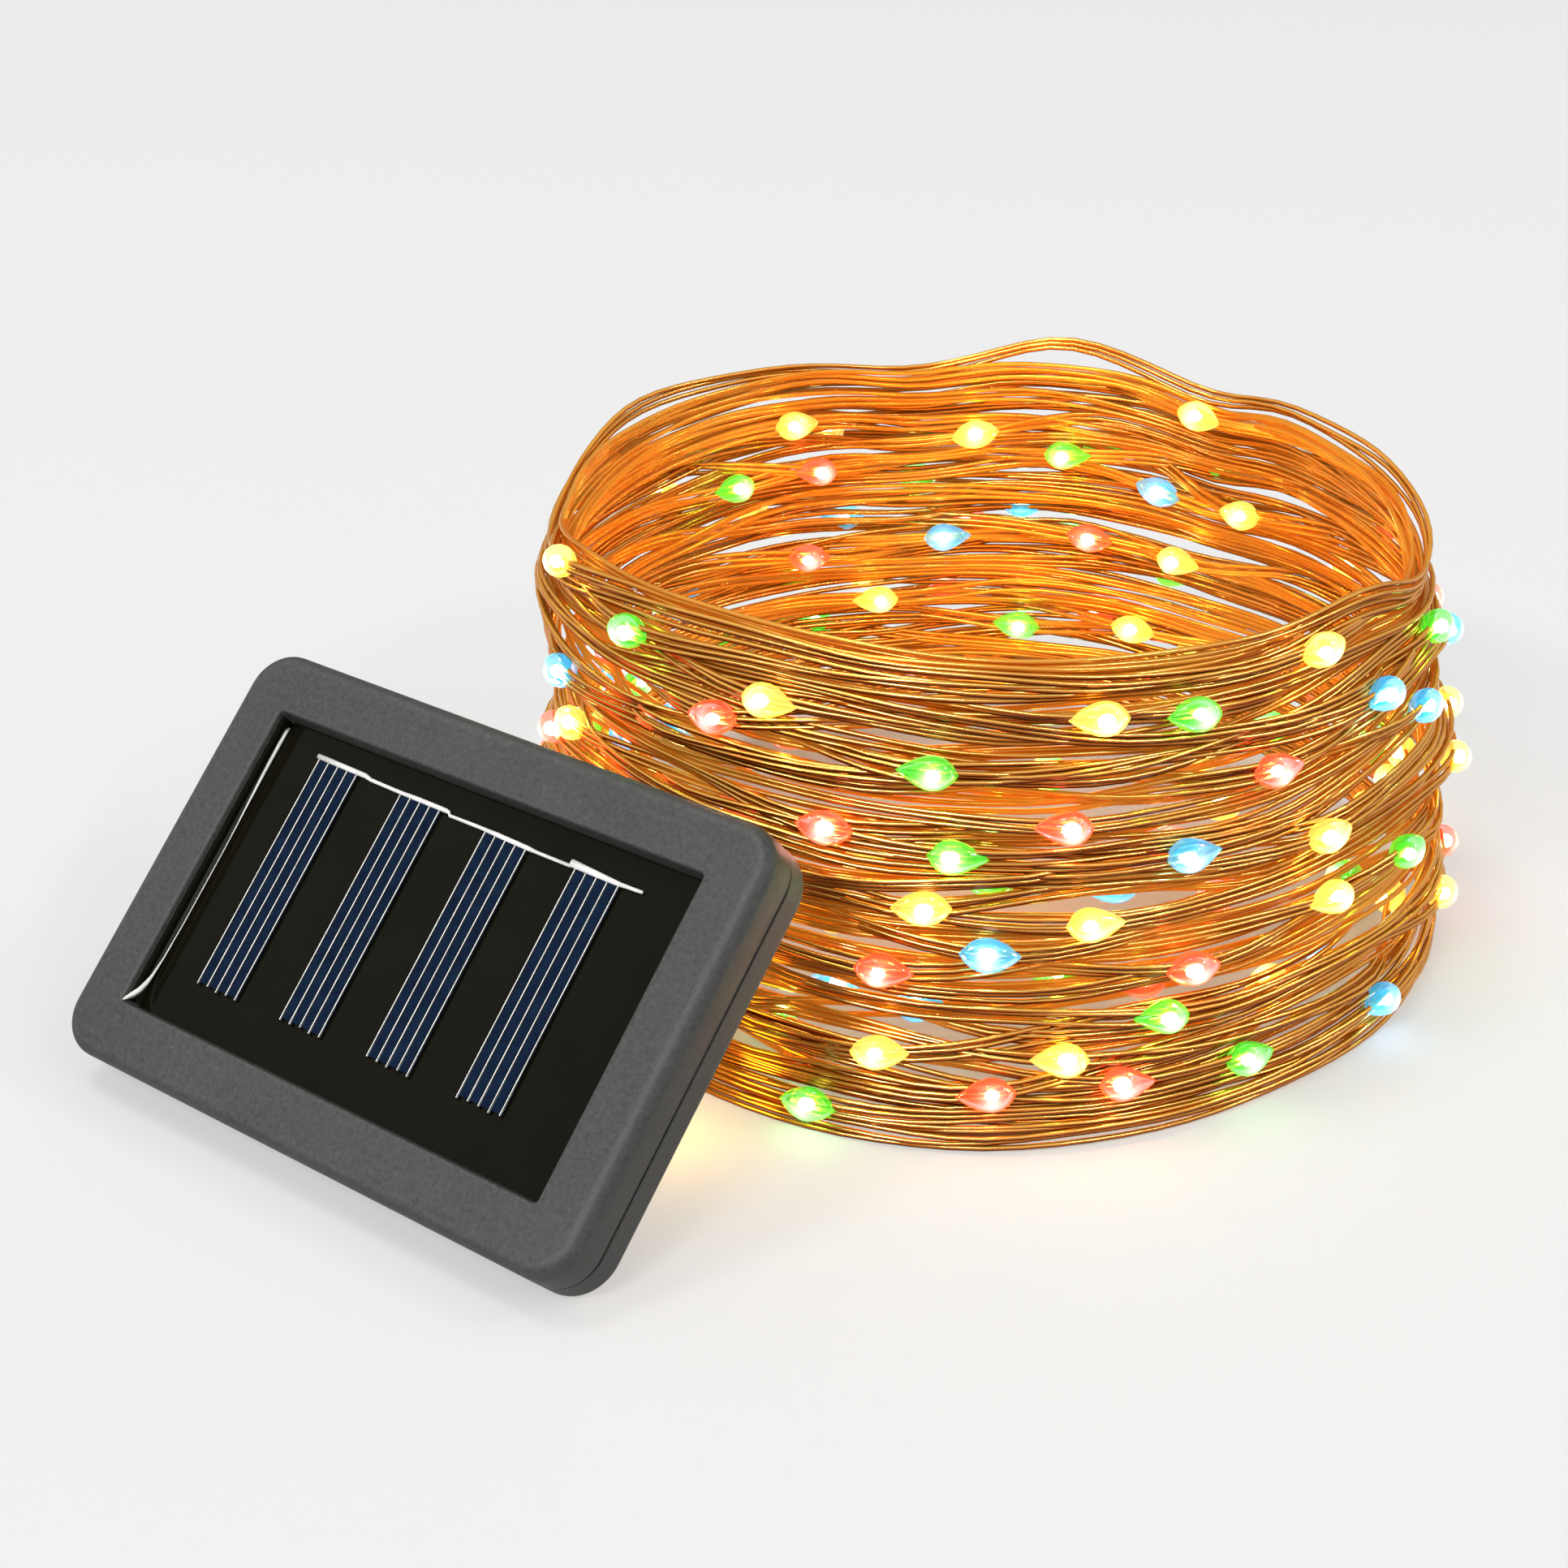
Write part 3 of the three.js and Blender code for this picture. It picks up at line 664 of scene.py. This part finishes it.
def make_strands(route):
    """The three enamelled wires: bundled at the gland, then side by side, rolling and wandering apart."""
    along, side, up = frames_along(route)
    metres = run_lengths(route) * MM
    lean = wander(metres, 2, (0.32, 1.3), (0.22, 3.1), (0.14, 9.3))
    across = np.cos(lean)[:, None] * up + np.sin(lean)[:, None] * side
    bundled = smooth_step(1 - metres / (BUNDLE_LENGTH * MM))
    parts = []
    for row, nested in ((-1, -0.22), (0, 0.44), (1, -0.22)):  # nested: the step aside into a round bundle
        apart = row * STRAND_PITCH
        apart += wander(metres, 6 + row, (0.24, 3.9), (0.18, 9.7), (0.15, 21.3), (0.08, 37.1))
        depth = wander(metres, 12 + row, (0.22, 5.3), (0.16, 17.9), (0.08, 33.7))
        apart += bundled * (row * STRAND_RADIUS - apart)
        depth += bundled * (nested - depth)
        centres = route + apart[:, None] * across + depth[:, None] * side
        centres[:, 2] = np.maximum(centres[:, 2], STRAND_RADIUS)
        parts.append(tube(centres * MM, side, up, STRAND_RADIUS * MM, WIRE_SIDES))
    wire = mesh_object("copper_string", *join_parts(parts), copper_wire())
    # Each vertex's share of the painted LED glow.
    lit = wire.data.attributes.new("lit", "FLOAT", "POINT")
    lit.data.foreach_set("value", np.tile(inner_light(route), 3))
    place_piece(wire, "housing", "copper_wire", "string_lead", "light_coil")
    return wire


# LEDs on the sunny side and on the far inner wall, as (degrees round the coil, height in millimetres).
OUTER_LEDS = {
    "yellow": [(-122, 62), (-112, 42), (-79, 57), (-43, 58), (-12, 61), (-12, 36), (-11, 27)]
    + [(24, 30), (19, 12), (-63, 33), (-44, 31), (-48, 13), (-66, 13)],
    "green": [(-102, 59), (-62, 51), (-58, 40), (-31, 57), (17, 53), (2, 28), (-35, 16), (-22, 8), (-71, 4)],
    "blue": [(-118, 48), (-32, 39), (-3, 51), (10, 45), (-52, 25), (0, 6)],
    "red": [(-123, 37), (-88, 53), (-73, 42), (-20, 49), (-45, 44), (-66, 24), (-30, 23), (-55, 5), (-38, 4)],
}
INNER_LEDS = {
    "yellow": [(156, 56), (127, 49), (80, 44), (91, 33), (142, 22), (99, 19), (87, 60)],
    "green": [(169, 47), (111, 49), (119, 17)],
    "blue": [(96, 45), (130, 33)],
    "red": [(154, 47), (151, 31), (107, 32)],
}


def led_samples(route):
    """The samples of the route at every LED, counted back from the bare end."""
    lengths = run_lengths(route)
    wanted = lengths[-1] - 3 - LED_SPACING * np.arange(LED_COUNT)
    return np.searchsorted(lengths, wanted)


def roomiest(route, angle, sample, taken):
    """The sample near this one that lies farthest from the taken ones, or None if none is clear of them."""
    slide = 6
    best, room = None, LED_CLEARANCE
    for moved in range(sample - slide, min(sample + slide + 1, len(route) - 1)):
        across = WALL_RADIUS * np.radians(turned_from(angle[taken], math.degrees(angle[moved])))
        gap = np.hypot(across, route[taken, 2] - route[moved, 2]).min()
        if gap > room:
            best, room = moved, gap
    return best


def placed_leds(route):
    """Every LED as (sample, colour, target height or None, +1 outside the winding or -1 inside).

    The LEDs seen in their places take the nearest LEDs of the string, moved a little along it. The others
    face away: out on the far side, and inwards on the sunny side. One without room is left out.
    """
    offset = route[:, :2] - COIL_CENTRE
    angle = np.arctan2(offset[:, 1], offset[:, 0])
    free = list(led_samples(route))
    chosen = []
    for group, outward in ((OUTER_LEDS, 1), (INNER_LEDS, -1)):
        for colour, places in group.items():
            for degrees, height in places:
                there = np.array(free)
                gap = 0.3 * np.abs(turned_from(angle[there], degrees)) + 3 * np.abs(route[there, 2] - height)
                sample = free.pop(int(gap.argmin()))
                sample += int(round(turned_from(angle[sample], degrees) / 360 * STEPS))
                chosen.append((min(sample, len(route) - 2), colour, height, outward))
    colours = list(LED_LOOKS)
    for i, sample in enumerate(free):
        facing = -1 if abs(turned_from(angle[sample], SUNNY_SIDE)) < 96 else 1
        taken = [other for other, _, _, outward in chosen if outward == facing]
        moved = roomiest(route, angle, sample, taken)
        if moved is not None and route[moved, 2] < LED_HIGHEST:
            chosen.append((moved, colours[i % len(colours)], None, facing))
    return chosen


def pulled(route, sample, shift):
    """Bends the route smoothly over to one side about a sample."""
    reach = 5
    low, high = max(0, sample - reach), min(len(route), sample + reach + 1)
    window = 0.5 + 0.5 * np.cos(np.pi * (np.arange(low, high) - sample) / (reach + 1))
    route[low:high] += window[:, None] * shift


def seat_leds(route):
    """Pulls the string to each LED's seat on the winding. Returns (sample, colour, unit vector it faces)."""
    seats = []
    for sample, colour, height, outward in placed_leds(route):
        point = route[sample]
        radial = np.array([point[0] - COIL_CENTRE[0], point[1] - COIL_CENTRE[1], 0])
        radius = np.linalg.norm(radial)
        radial /= radius
        wall = drum_radius(math.atan2(radial[1], radial[0]), point[2])
        wanted = wall + LED_PROUD if outward > 0 else wall - LED_SUNK
        up = 0 if height is None else np.clip(height - point[2], -LED_LIFT, LED_LIFT)
        pulled(route, sample, (wanted - radius) * radial + np.array([0, 0, up]))
        seats.append((sample, colour, outward * radial))
    return seats


def drop_profile(seed):
    """A resin drop: pointed at both ends, fuller towards one of them."""
    rows = 12
    skew = 0.25 * math.sin(2.4 * seed)
    profile = []
    for i in range(rows + 1):
        t = 2 * i / rows - 1
        bent = t + skew * (1 - t * t)
        radius = LED_RADIUS * max(0.0, 1 - abs(bent) ** 1.9) ** 0.85
        profile.append((t * LED_HALF_LENGTH, radius if 0 < i < rows else 0.0))
    return profile, -skew * LED_HALF_LENGTH


def make_leds(route, seats):
    """The resin drops and the lit chips inside them, joined by colour."""
    along = frames_along(route)[0]
    drops = {colour: [] for colour in LED_LOOKS}
    chips = {colour: [] for colour in LED_LOOKS}
    glows = {colour: [] for colour in LED_LOOKS}
    for seed, (sample, colour, radial) in enumerate(seats):
        axis = along[sample]
        up = np.cross(radial, axis)
        up /= np.linalg.norm(up)
        out = np.cross(axis, up)
        centre = route[sample] + 0.3 * out
        centre[2] = max(centre[2], LED_RADIUS)
        profile, hot = drop_profile(seed)
        vertices, faces = lathe(profile, 14, centre, axis, out, up)
        drops[colour].append((np.array(vertices) * MM, faces))
        middle = centre + hot * axis + 0.5 * out + 0.25 * math.sin(5 * seed) * up
        distance = np.linalg.norm(np.array(vertices) - middle - 1.3 * out, axis=1)
        glows[colour].append(np.exp(-((distance / 1.35) ** 2)))
        size = 0.9 + 0.12 * math.sin(3 * seed)
        bulb = [(-1.2 * size * math.cos(t), size * math.sin(t)) for t in np.linspace(0, math.pi, 7)]
        bulb[0], bulb[-1] = (-1.2 * size, 0.0), (1.2 * size, 0.0)
        vertices, faces = lathe(bulb, 10, middle, axis, out, up)
        chips[colour].append((np.array(vertices) * MM, faces))
    pieces = []
    for colour, (tint, core) in LED_LOOKS.items():
        drop = mesh_object(f"led_drops_{colour}", *join_parts(drops[colour]), led_resin(colour, tint, core))
        glow = drop.data.attributes.new("glow", "FLOAT", "POINT")
        glow.data.foreach_set("value", np.concatenate(glows[colour]))
        chip = mesh_object(f"led_chips_{colour}", *join_parts(chips[colour]), led_chip(colour, core))
        place_piece(drop, "housing", "led_resin")
        place_piece(chip, "housing", "led_resin")
        pieces += [drop, chip]
    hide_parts(*(f"led_bead_{i:02d}" for i in range(1, 17)))
    return pieces


def make_string():
    """The whole light string, with its LEDs on it."""
    route = string_route()
    seats = seat_leds(route)
    route[:, 2] = np.maximum(route[:, 2], COIL_FOOT)
    wire = make_strands(route)
    leds = make_leds(route, seats)


make_string()


# ---------------------------------------------------------------- the housing's own pieces
SHELL = shell_plastic()


def arc(steps):
    """Angles of a quarter turn."""
    return [math.pi / 2 * i / steps for i in range(steps + 1)]


def front_cover_loops():
    """The front cover's section, from its parting edge up over the bezel and down the window's wall."""
    sections = []  # (half size, corner, z)

    def outer(inset, z):
        half = (HOUSING_HALF[0] - inset, HOUSING_HALF[1] - inset)
        sections.append((half, HOUSING_CORNER - inset, z))

    def window(grow, corner, z):
        half = (WINDOW_HALF[0] + grow, WINDOW_HALF[1] + grow)
        sections.append((half, corner, z))

    outer(0.35, PARTING_Z)
    outer(0.1, PARTING_Z + 0.1)
    outer(0.0, PARTING_Z + 0.35)
    outer(0.0, -FACE_EDGE - 0.6)
    for turn in arc(8):
        outer(FACE_EDGE * (1 - math.cos(turn)), -FACE_EDGE + FACE_EDGE * math.sin(turn))
    outer(FACE_EDGE + 0.4, 0)
    lip = 0.45
    window(lip + 0.3, WINDOW_CORNER + lip + 0.3, 0)
    for turn in arc(4):
        grow = lip * (1 - math.sin(turn))
        window(grow, WINDOW_CORNER + grow, -lip + lip * math.cos(turn))
    window(-0.02, WINDOW_CORNER, -lip - 0.1)
    window(-0.25, WINDOW_CORNER, LAMINATE_TOP + 0.05)
    window(0.6, WINDOW_CORNER + 0.6, LAMINATE_TOP + 0.05)
    window(0.6, WINDOW_CORNER + 0.6, LAMINATE_TOP + 0.3)
    pocket = POCKET_HALF[0] - WINDOW_HALF[0]
    window(pocket, 2, LAMINATE_TOP + 0.3)
    window(pocket, 2, PARTING_Z)
    return [rounded_loop(half, corner, z) for half, corner, z in sections]


def bored(piece, holes):
    """Cuts round holes along the housing's z. holes are (x, y, radius, z0, z1)."""
    parts = []
    for x, y, radius, z0, z1 in holes:
        profile = [(z0, 0.0), (z0, radius), (z1, radius), (z1, 0.0)]
        parts.append(lathe(profile, 20, (x, y, 0), (0, 0, 1), (1, 0, 0), (0, 1, 0)))
    cutter = mesh_object("cutter", *join_parts(parts), SHELL, HOUSING)
    boolean = piece.modifiers.new("bore", "BOOLEAN")
    boolean.object = cutter
    boolean.solver = "EXACT"
    depsgraph = bpy.context.evaluated_depsgraph_get()
    mesh = bpy.data.meshes.new_from_object(piece.evaluated_get(depsgraph))
    piece.modifiers.clear()
    piece.data = mesh
    bpy.data.objects.remove(cutter)


def smooth_by_angle():
    """A node group that shades a mesh smooth and keeps edges over 32 degrees sharp."""
    group = bpy.data.node_groups.new("smooth_by_angle", "GeometryNodeTree")
    group.interface.new_socket("Geometry", in_out="INPUT", socket_type="NodeSocketGeometry")
    group.interface.new_socket("Geometry", in_out="OUTPUT", socket_type="NodeSocketGeometry")
    nodes, links = group.nodes, group.links
    entry, leave = nodes.new("NodeGroupInput"), nodes.new("NodeGroupOutput")
    faces = nodes.new("GeometryNodeSetShadeSmooth")
    edges = nodes.new("GeometryNodeSetShadeSmooth")
    edges.domain = "EDGE"
    edges.inputs["Shade Smooth"].default_value = False
    angle = nodes.new("GeometryNodeInputMeshEdgeAngle")
    sharp = nodes.new("FunctionNodeCompare")
    sharp.operation = "GREATER_THAN"
    sharp.inputs["B"].default_value = math.radians(32)
    links.new(angle.outputs["Unsigned Angle"], sharp.inputs["A"])
    links.new(entry.outputs[0], faces.inputs["Geometry"])
    links.new(faces.outputs[0], edges.inputs["Geometry"])
    links.new(sharp.outputs[0], edges.inputs["Selection"])
    links.new(edges.outputs[0], leave.inputs[0])
    return group


SMOOTH = smooth_by_angle()


def soften(piece, edge):
    """Rounds a piece's hard edges over and shades it smooth."""
    flat = piece.modifiers.new("merge_flats", "DECIMATE")
    flat.decimate_type = "DISSOLVE"
    flat.angle_limit = math.radians(0.6)
    if edge:
        bevel = piece.modifiers.new("edges", "BEVEL")
        bevel.width = edge * MM
        bevel.segments = 2
        bevel.limit_method = "ANGLE"
        bevel.angle_limit = math.radians(38)
        bevel.harden_normals = False
    smooth = piece.modifiers.new("smooth", "NODES")
    smooth.node_group = SMOOTH


def dress(names, material, edge=0.12):
    """A finish and softened edges for CAD nodes that keep their own shape."""
    for name in names:
        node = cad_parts[name]
        node.data.materials.clear()
        node.data.materials.append(material)
        soften(node, edge)


def make_front_cover():
    """The front cover with a fine bezel, its window's lip and fillets, and its four screw holes."""
    cover = mesh_object("front_bezel", *loft(front_cover_loops(), closed=True), SHELL, HOUSING)
    bored(cover, [(*place, *SCREW_HOLE) for place in SCREW_PLACES])
    smooth = cover.modifiers.new("smooth", "NODES")
    smooth.node_group = SMOOTH
    place_piece(cover, "housing", "shell_plastic", "front_cover")


def make_resin_film_painted_shade():
    """The potting's black film on the window's left wall, wetted almost up to the face; it is also painted
    shade, which keeps that wall as dark as a wall in shadow.
    """
    sections = []
    for inset, z in ((0.10, LAMINATE_TOP), (0.06, -0.75), (-0.2, -0.70), (-0.2, LAMINATE_TOP)):
        left, right = inset + COLLAR_LEAN * (z / LAMINATE_TOP), -0.4
        half = (WINDOW_HALF[0] - (left + right) / 2, WINDOW_HALF[1] + 0.3)
        sections.append(rounded_loop(half, 0.3, z, ((left - right) / 2, 0)))
    collar = mesh_object("resin_film_painted_shade", *loft(sections, closed=True), RESIN, HOUSING)
    place_piece(collar, "housing", "panel_resin")


BEAD_EDGES = [  # down the left wall's foot and up into its lower corner: y, z, then y, z across the bead
    (20.9, -2.75, 20.6, -3.00),
    (20.2, -2.42, 20.0, -3.02),
    (18.0, -2.34, 18.0, -3.02),
    (14.5, -2.40, 14.5, -3.00),
    (10.0, -2.60, 10.0, -2.98),
    (6.0, -2.82, 6.0, -2.96),
    (2.0, -2.96, 2.0, -2.99),
    (-9.0, -2.97, -9.0, -2.99),
    (-14.5, -2.78, -14.5, -2.92),
    (-17.2, -2.40, -17.6, -2.84),
    (-18.4, -2.00, -18.9, -2.78),
    (-19.6, -1.46, -20.1, -2.42),
    (-20.6, -0.80, -21.1, -1.70),
    (-21.4, -0.24, -21.7, -0.86),
    (-21.95, 0.0, -22.0, -0.18),
]


def left_wall(z):
    """x of the resin's surface on the window's left wall, which leans in towards its foot."""
    return 0.1 + COLLAR_LEAN * z / LAMINATE_TOP - WINDOW_HALF[0]


def make_painted_highlight_bead():
    """A pale bead at the foot of the window's left wall and up into its lower corner: a painted highlight,
    standing for the shine on the resin's edge there.
    """
    loops = []
    for y0, z0, y1, z1 in BEAD_EDGES:
        upper, lower = left_wall(z0), left_wall(z1)
        y, z = (y0 + y1) / 2, (z0 + z1) / 2
        crest = ((upper + lower) / 2 + 0.16, y, z)
        loops.append([(upper, y0, z0), crest, (lower + 0.05, y1, z1), (lower - 0.1, y, z)])
    bead = mesh_object("painted_highlight_bead", *loft(loops, closed=False), HIGHLIGHT_WHITE, HOUSING)
    place_piece(bead, "housing", "panel_resin")


def bar(x, half_width, low_y, high_y, bottom, top):
    """A long thin plate with softened upper edges, standing on z = bottom."""
    half, middle = (half_width, (high_y - low_y) / 2), (x, (low_y + high_y) / 2)
    edge = min(0.05, (top - bottom) / 2)
    inner = (half[0] - edge, half[1] - edge)
    sections = [(half, bottom), (half, top - edge), (inner, top)]
    return loft([rounded_loop(size, 0.6 * size[0], z, middle, 3) for size, z in sections], closed=False)


def make_grid_lines(silver, dark):
    """Silver lines along each cell strip, which run a little past its foot, each on a wider dark strip of
    painted shade.
    """
    bottom = STRIP_TOP - 0.02
    for i in range(STRIP_COUNT):
        low, high = STRIP_MIDDLE_Y - strip_length(i) / 2, STRIP_MIDDLE_Y + strip_length(i) / 2
        lines, line_shades = [], []
        for j in range(STRIP_LINES):
            x = strip_x(i) + (STRIP_WIDTH - 0.30) * (j / (STRIP_LINES - 1) - 0.5)
            foot = low - 0.30 - 0.14 * math.sin(9 * i + 4 * j)
            lines.append(bar(x, 0.07, foot, high + 0.2, bottom, STRIP_TOP + 0.10))
            # A wider dark strip under each line: painted shade beside it.
            line_shades.append(bar(x, 0.27, foot - 0.15, high + 0.1, bottom, STRIP_TOP + 0.02))
        line_piece = mesh_object(f"grid_lines_{i + 1}", *join_parts(lines), silver, HOUSING)
        place_piece(line_piece, "housing", "tinned_metal")
        line_shade_piece = mesh_object(f"grid_line_shades_{i + 1}", *join_parts(line_shades), dark, HOUSING)
        place_piece(line_shade_piece, "housing", "solar_cell")


RIBBON_EDGES = [  # along the ribbon: x, middle y, width
    (-29.7, 18.62, 0.74),
    (-24.0, 18.50, 0.76),
    (-20.6, 18.46, 0.72),
    (-19.4, 18.22, 0.52),
    (-14.0, 18.12, 0.52),
    (-11.0, 18.14, 0.66),
    (-5.4, 18.10, 0.66),
    (-4.8, 18.02, 0.52),
    (-4.5, 17.66, 0.46),
    (1.0, 17.70, 0.50),
    (4.0, 17.62, 0.66),
    (9.6, 17.46, 0.66),
    (11.0, 17.40, 0.48),
    (16.8, 17.40, 0.46),
    (16.9, 17.78, 1.10),
    (20.0, 17.66, 0.94),
    (25.0, 17.50, 0.66),
    (26.4, 17.56, 0.50),
    (28.7, 17.62, 0.46),
]


def make_ribbon(material):
    """The tinned ribbon soldered across the strips' upper ends: lumpy, stepped and thin between them."""
    loops = []
    for x, y, width in RIBBON_EDGES:
        thick = 0.16 + 0.22 * width
        middle = STRIP_FLOOR + 0.1 + thick
        turns = [2 * math.pi * i / 10 for i in range(10)]
        loops.append([(x, y + width / 2 * math.cos(a), middle + thick * math.sin(a)) for a in turns])
    ribbon = mesh_object("solder_ribbon", *loft(loops, closed=False), material, HOUSING)
    place_piece(ribbon, "housing", "tinned_metal", "bus_ribbon")


TINNED = plain("tinned_metal", (0.88, 0.87, 0.85), 0.34, 0.15, grain=2200)
# A near-white for the painted highlight at the window's left foot.
HIGHLIGHT_WHITE = plain("painted_highlight_white", (0.86, 0.84, 0.80), 0.35)
STEEL = plain("screw_steel", (0.50, 0.51, 0.52), 0.3, 1.0)
RUBBER = plain("black_rubber", (0.02, 0.02, 0.021), 0.7)
RESIN = panel_resin()

make_front_cover()
make_resin_film_painted_shade()
make_painted_highlight_bead()
make_grid_lines(TINNED, RESIN)
make_ribbon(TINNED)
dress(["rear_cover", "battery_door", "swivel_socket"], SHELL, 0.25)
dress(["solar_laminate"], RESIN, 0)
dress([f"solar_cell_strip_{i + 1}" for i in range(STRIP_COUNT)], solar_cell(), 0.05)
dress(["positive_contact", "negative_contact", "battery_spring"], TINNED, 0)
dress([f"cover_screw_{i + 1}" for i in range(len(SCREW_PLACES))], STEEL)
dress(["battery_door_screw", "pivot_bolt", "pivot_nut", "power_switch", "mode_switch"], STEEL)
dress(["cover_seal", "laminate_sealant", "door_seal"], RUBBER, 0)
dress(["string_gland", "power_button", "mode_button"], RUBBER, 0.15)
dress(["circuit_board"], plain("green_board", (0.02, 0.12, 0.045), 0.4))
dress(["controller_chip", "boost_inductor"], plain("black_resin", (0.012, 0.012, 0.013), 0.5))
dress(["battery_cell", "buffer_capacitor"], plain("green_sleeve", (0.05, 0.22, 0.09), 0.35), 0.2)
dress(["panel_wire_red", "battery_wire_red"], plain("red_wire", (0.4, 0.02, 0.015), 0.5), 0)
dress(["panel_wire_black", "battery_wire_black"], plain("black_wire", (0.012, 0.012, 0.012), 0.5), 0)


# ---------------------------------------------------------------- studio
def make_floor():
    """White paper with painted shadow inside the coil and a painted warm glow round the coil's foot, and as
    pale far off as near.
    """
    size = 8.0
    corners = [(-size, -size, 0), (size, -size, 0), (size, size, 0), (-size, size, 0)]
    mesh = bpy.data.meshes.new("floor")
    mesh.from_pydata(corners, [], [[0, 1, 2, 3]])
    material, nodes, links, shader = new_material("floor_paper")
    shader.inputs["Base Color"].default_value = (*grey(0.34), 1)
    shader.inputs["Roughness"].default_value = 1.0
    shader.inputs["Specular IOR Level"].default_value = 0.0
    coordinates = nodes.new("ShaderNodeTexCoord")
    reach = nodes.new("ShaderNodeVectorMath")
    reach.operation = "DISTANCE"
    reach.inputs[1].default_value = (*COIL_CENTRE * MM, 0)
    links.new(coordinates.outputs["Object"], reach.inputs[0])
    span = nodes.new("ShaderNodeMapRange")
    span.inputs["From Max"].default_value = 0.2
    links.new(reach.outputs["Value"], span.inputs["Value"])
    # The paper's own light, by distance from the coil: painted shadow inside it, then a painted warm glow
    # round its foot.
    shade = ramp(
        nodes,
        links,
        span.outputs["Result"],
        (0.30, (0.10, 0.04, 0.01)),
        (0.35, (1.0, 0.96, 0.88)),
        (0.42, (1.0, 1.0, 0.97)),
        (0.55, grey(1.0)),
    )
    links.new(shade, shader.inputs["Emission Color"])
    far = nodes.new("ShaderNodeMapRange")
    far.interpolation_type = "SMOOTHSTEP"
    far.inputs["From Min"].default_value = 0.8
    far.inputs["From Max"].default_value = 5.0
    far.inputs["To Min"].default_value = 0.43
    far.inputs["To Max"].default_value = 0.56
    links.new(reach.outputs["Value"], far.inputs["Value"])
    links.new(far.outputs["Result"], shader.inputs["Emission Strength"])
    mesh.materials.append(material)
    floor = bpy.data.objects.new("floor", mesh)
    bpy.context.collection.objects.link(floor)


def make_world():
    """A sky that is bright overhead and dim at the horizon for the light, and plain pale where it is seen."""
    world = bpy.data.worlds.new("studio")
    world.use_nodes = True
    nodes, links = world.node_tree.nodes, world.node_tree.links
    sky = nodes["Background"]
    coordinates = nodes.new("ShaderNodeTexCoord")
    split = nodes.new("ShaderNodeSeparateXYZ")
    links.new(coordinates.outputs["Generated"], split.inputs["Vector"])
    tone = ramp(nodes, links, split.outputs["Z"], (0.0, grey(0.5)), (0.25, grey(0.68)), (0.6, grey(1.0)))
    links.new(tone, sky.inputs["Color"])
    sky.inputs["Strength"].default_value = 0.66
    plain_sky = nodes.new("ShaderNodeBackground")
    plain_sky.inputs["Color"].default_value = (*grey(0.865), 1)
    path = nodes.new("ShaderNodeLightPath")
    choice = nodes.new("ShaderNodeMixShader")
    links.new(path.outputs["Is Camera Ray"], choice.inputs["Fac"])
    links.new(sky.outputs["Background"], choice.inputs[1])
    links.new(plain_sky.outputs["Background"], choice.inputs[2])
    links.new(choice.outputs["Shader"], nodes["World Output"].inputs["Surface"])
    bpy.context.scene.world = world
    bpy.context.scene.view_settings.view_transform = "Standard"


def softbox(name, offset, size, radiance):
    """A rectangular light of the given radiance that faces the panel from some way off."""
    data = bpy.data.lights.new(name, "AREA")
    data.shape = "RECTANGLE"
    data.size, data.size_y = size
    data.energy = radiance * math.pi * size[0] * size[1]
    light = bpy.data.objects.new(name, data)
    bpy.context.collection.objects.link(light)
    light.location = HOUSING.translation + Vector(offset)
    light.rotation_euler = (-Vector(offset)).to_track_quat("-Z", "Y").to_euler()


def lamp(name, offset, radius, watts, colour):
    """A small lamp that stands for the glow of many LEDs, placed from the middle of the coil's foot."""
    data = bpy.data.lights.new(name, "POINT")
    data.energy = watts
    data.shadow_soft_size = radius
    data.color = colour
    light = bpy.data.objects.new(name, data)
    bpy.context.collection.objects.link(light)
    light.location = Vector((*COIL_CENTRE * MM, 0)) + Vector(offset)
    light.visible_camera = False


make_floor()
make_world()
softbox("key", (0.3, -3.1, 2.5), (1.0, 0.40), 36)
softbox("front_strip", (1.00, -2.60, 2.96), (1.4, 0.14), 46)
softbox("left_strip", (-1.18, -2.92, 2.46), (1.0, 0.10), 50)
softbox("right_strip", (3.03, -0.43, 2.57), (1.4, 0.10), 56)
softbox("side_strip", (2.58, 1.81, 2.46), (1.2, 0.10), 56)
softbox("top_light", (-1.0, -0.4, 3.8), (0.8, 0.8), 14)
lamp("coil_glow", (0, 0, 0.040), 0.02, 0.09, (1.0, 0.38, 0.06))
lamp("red_glow", (-0.036, -0.070, 0.036), 0.006, 0.018, (1.0, 0.12, 0.02))
lamp("foot_glow", (0.008, -0.081, 0.010), 0.004, 0.013, (1.0, 0.55, 0.04))
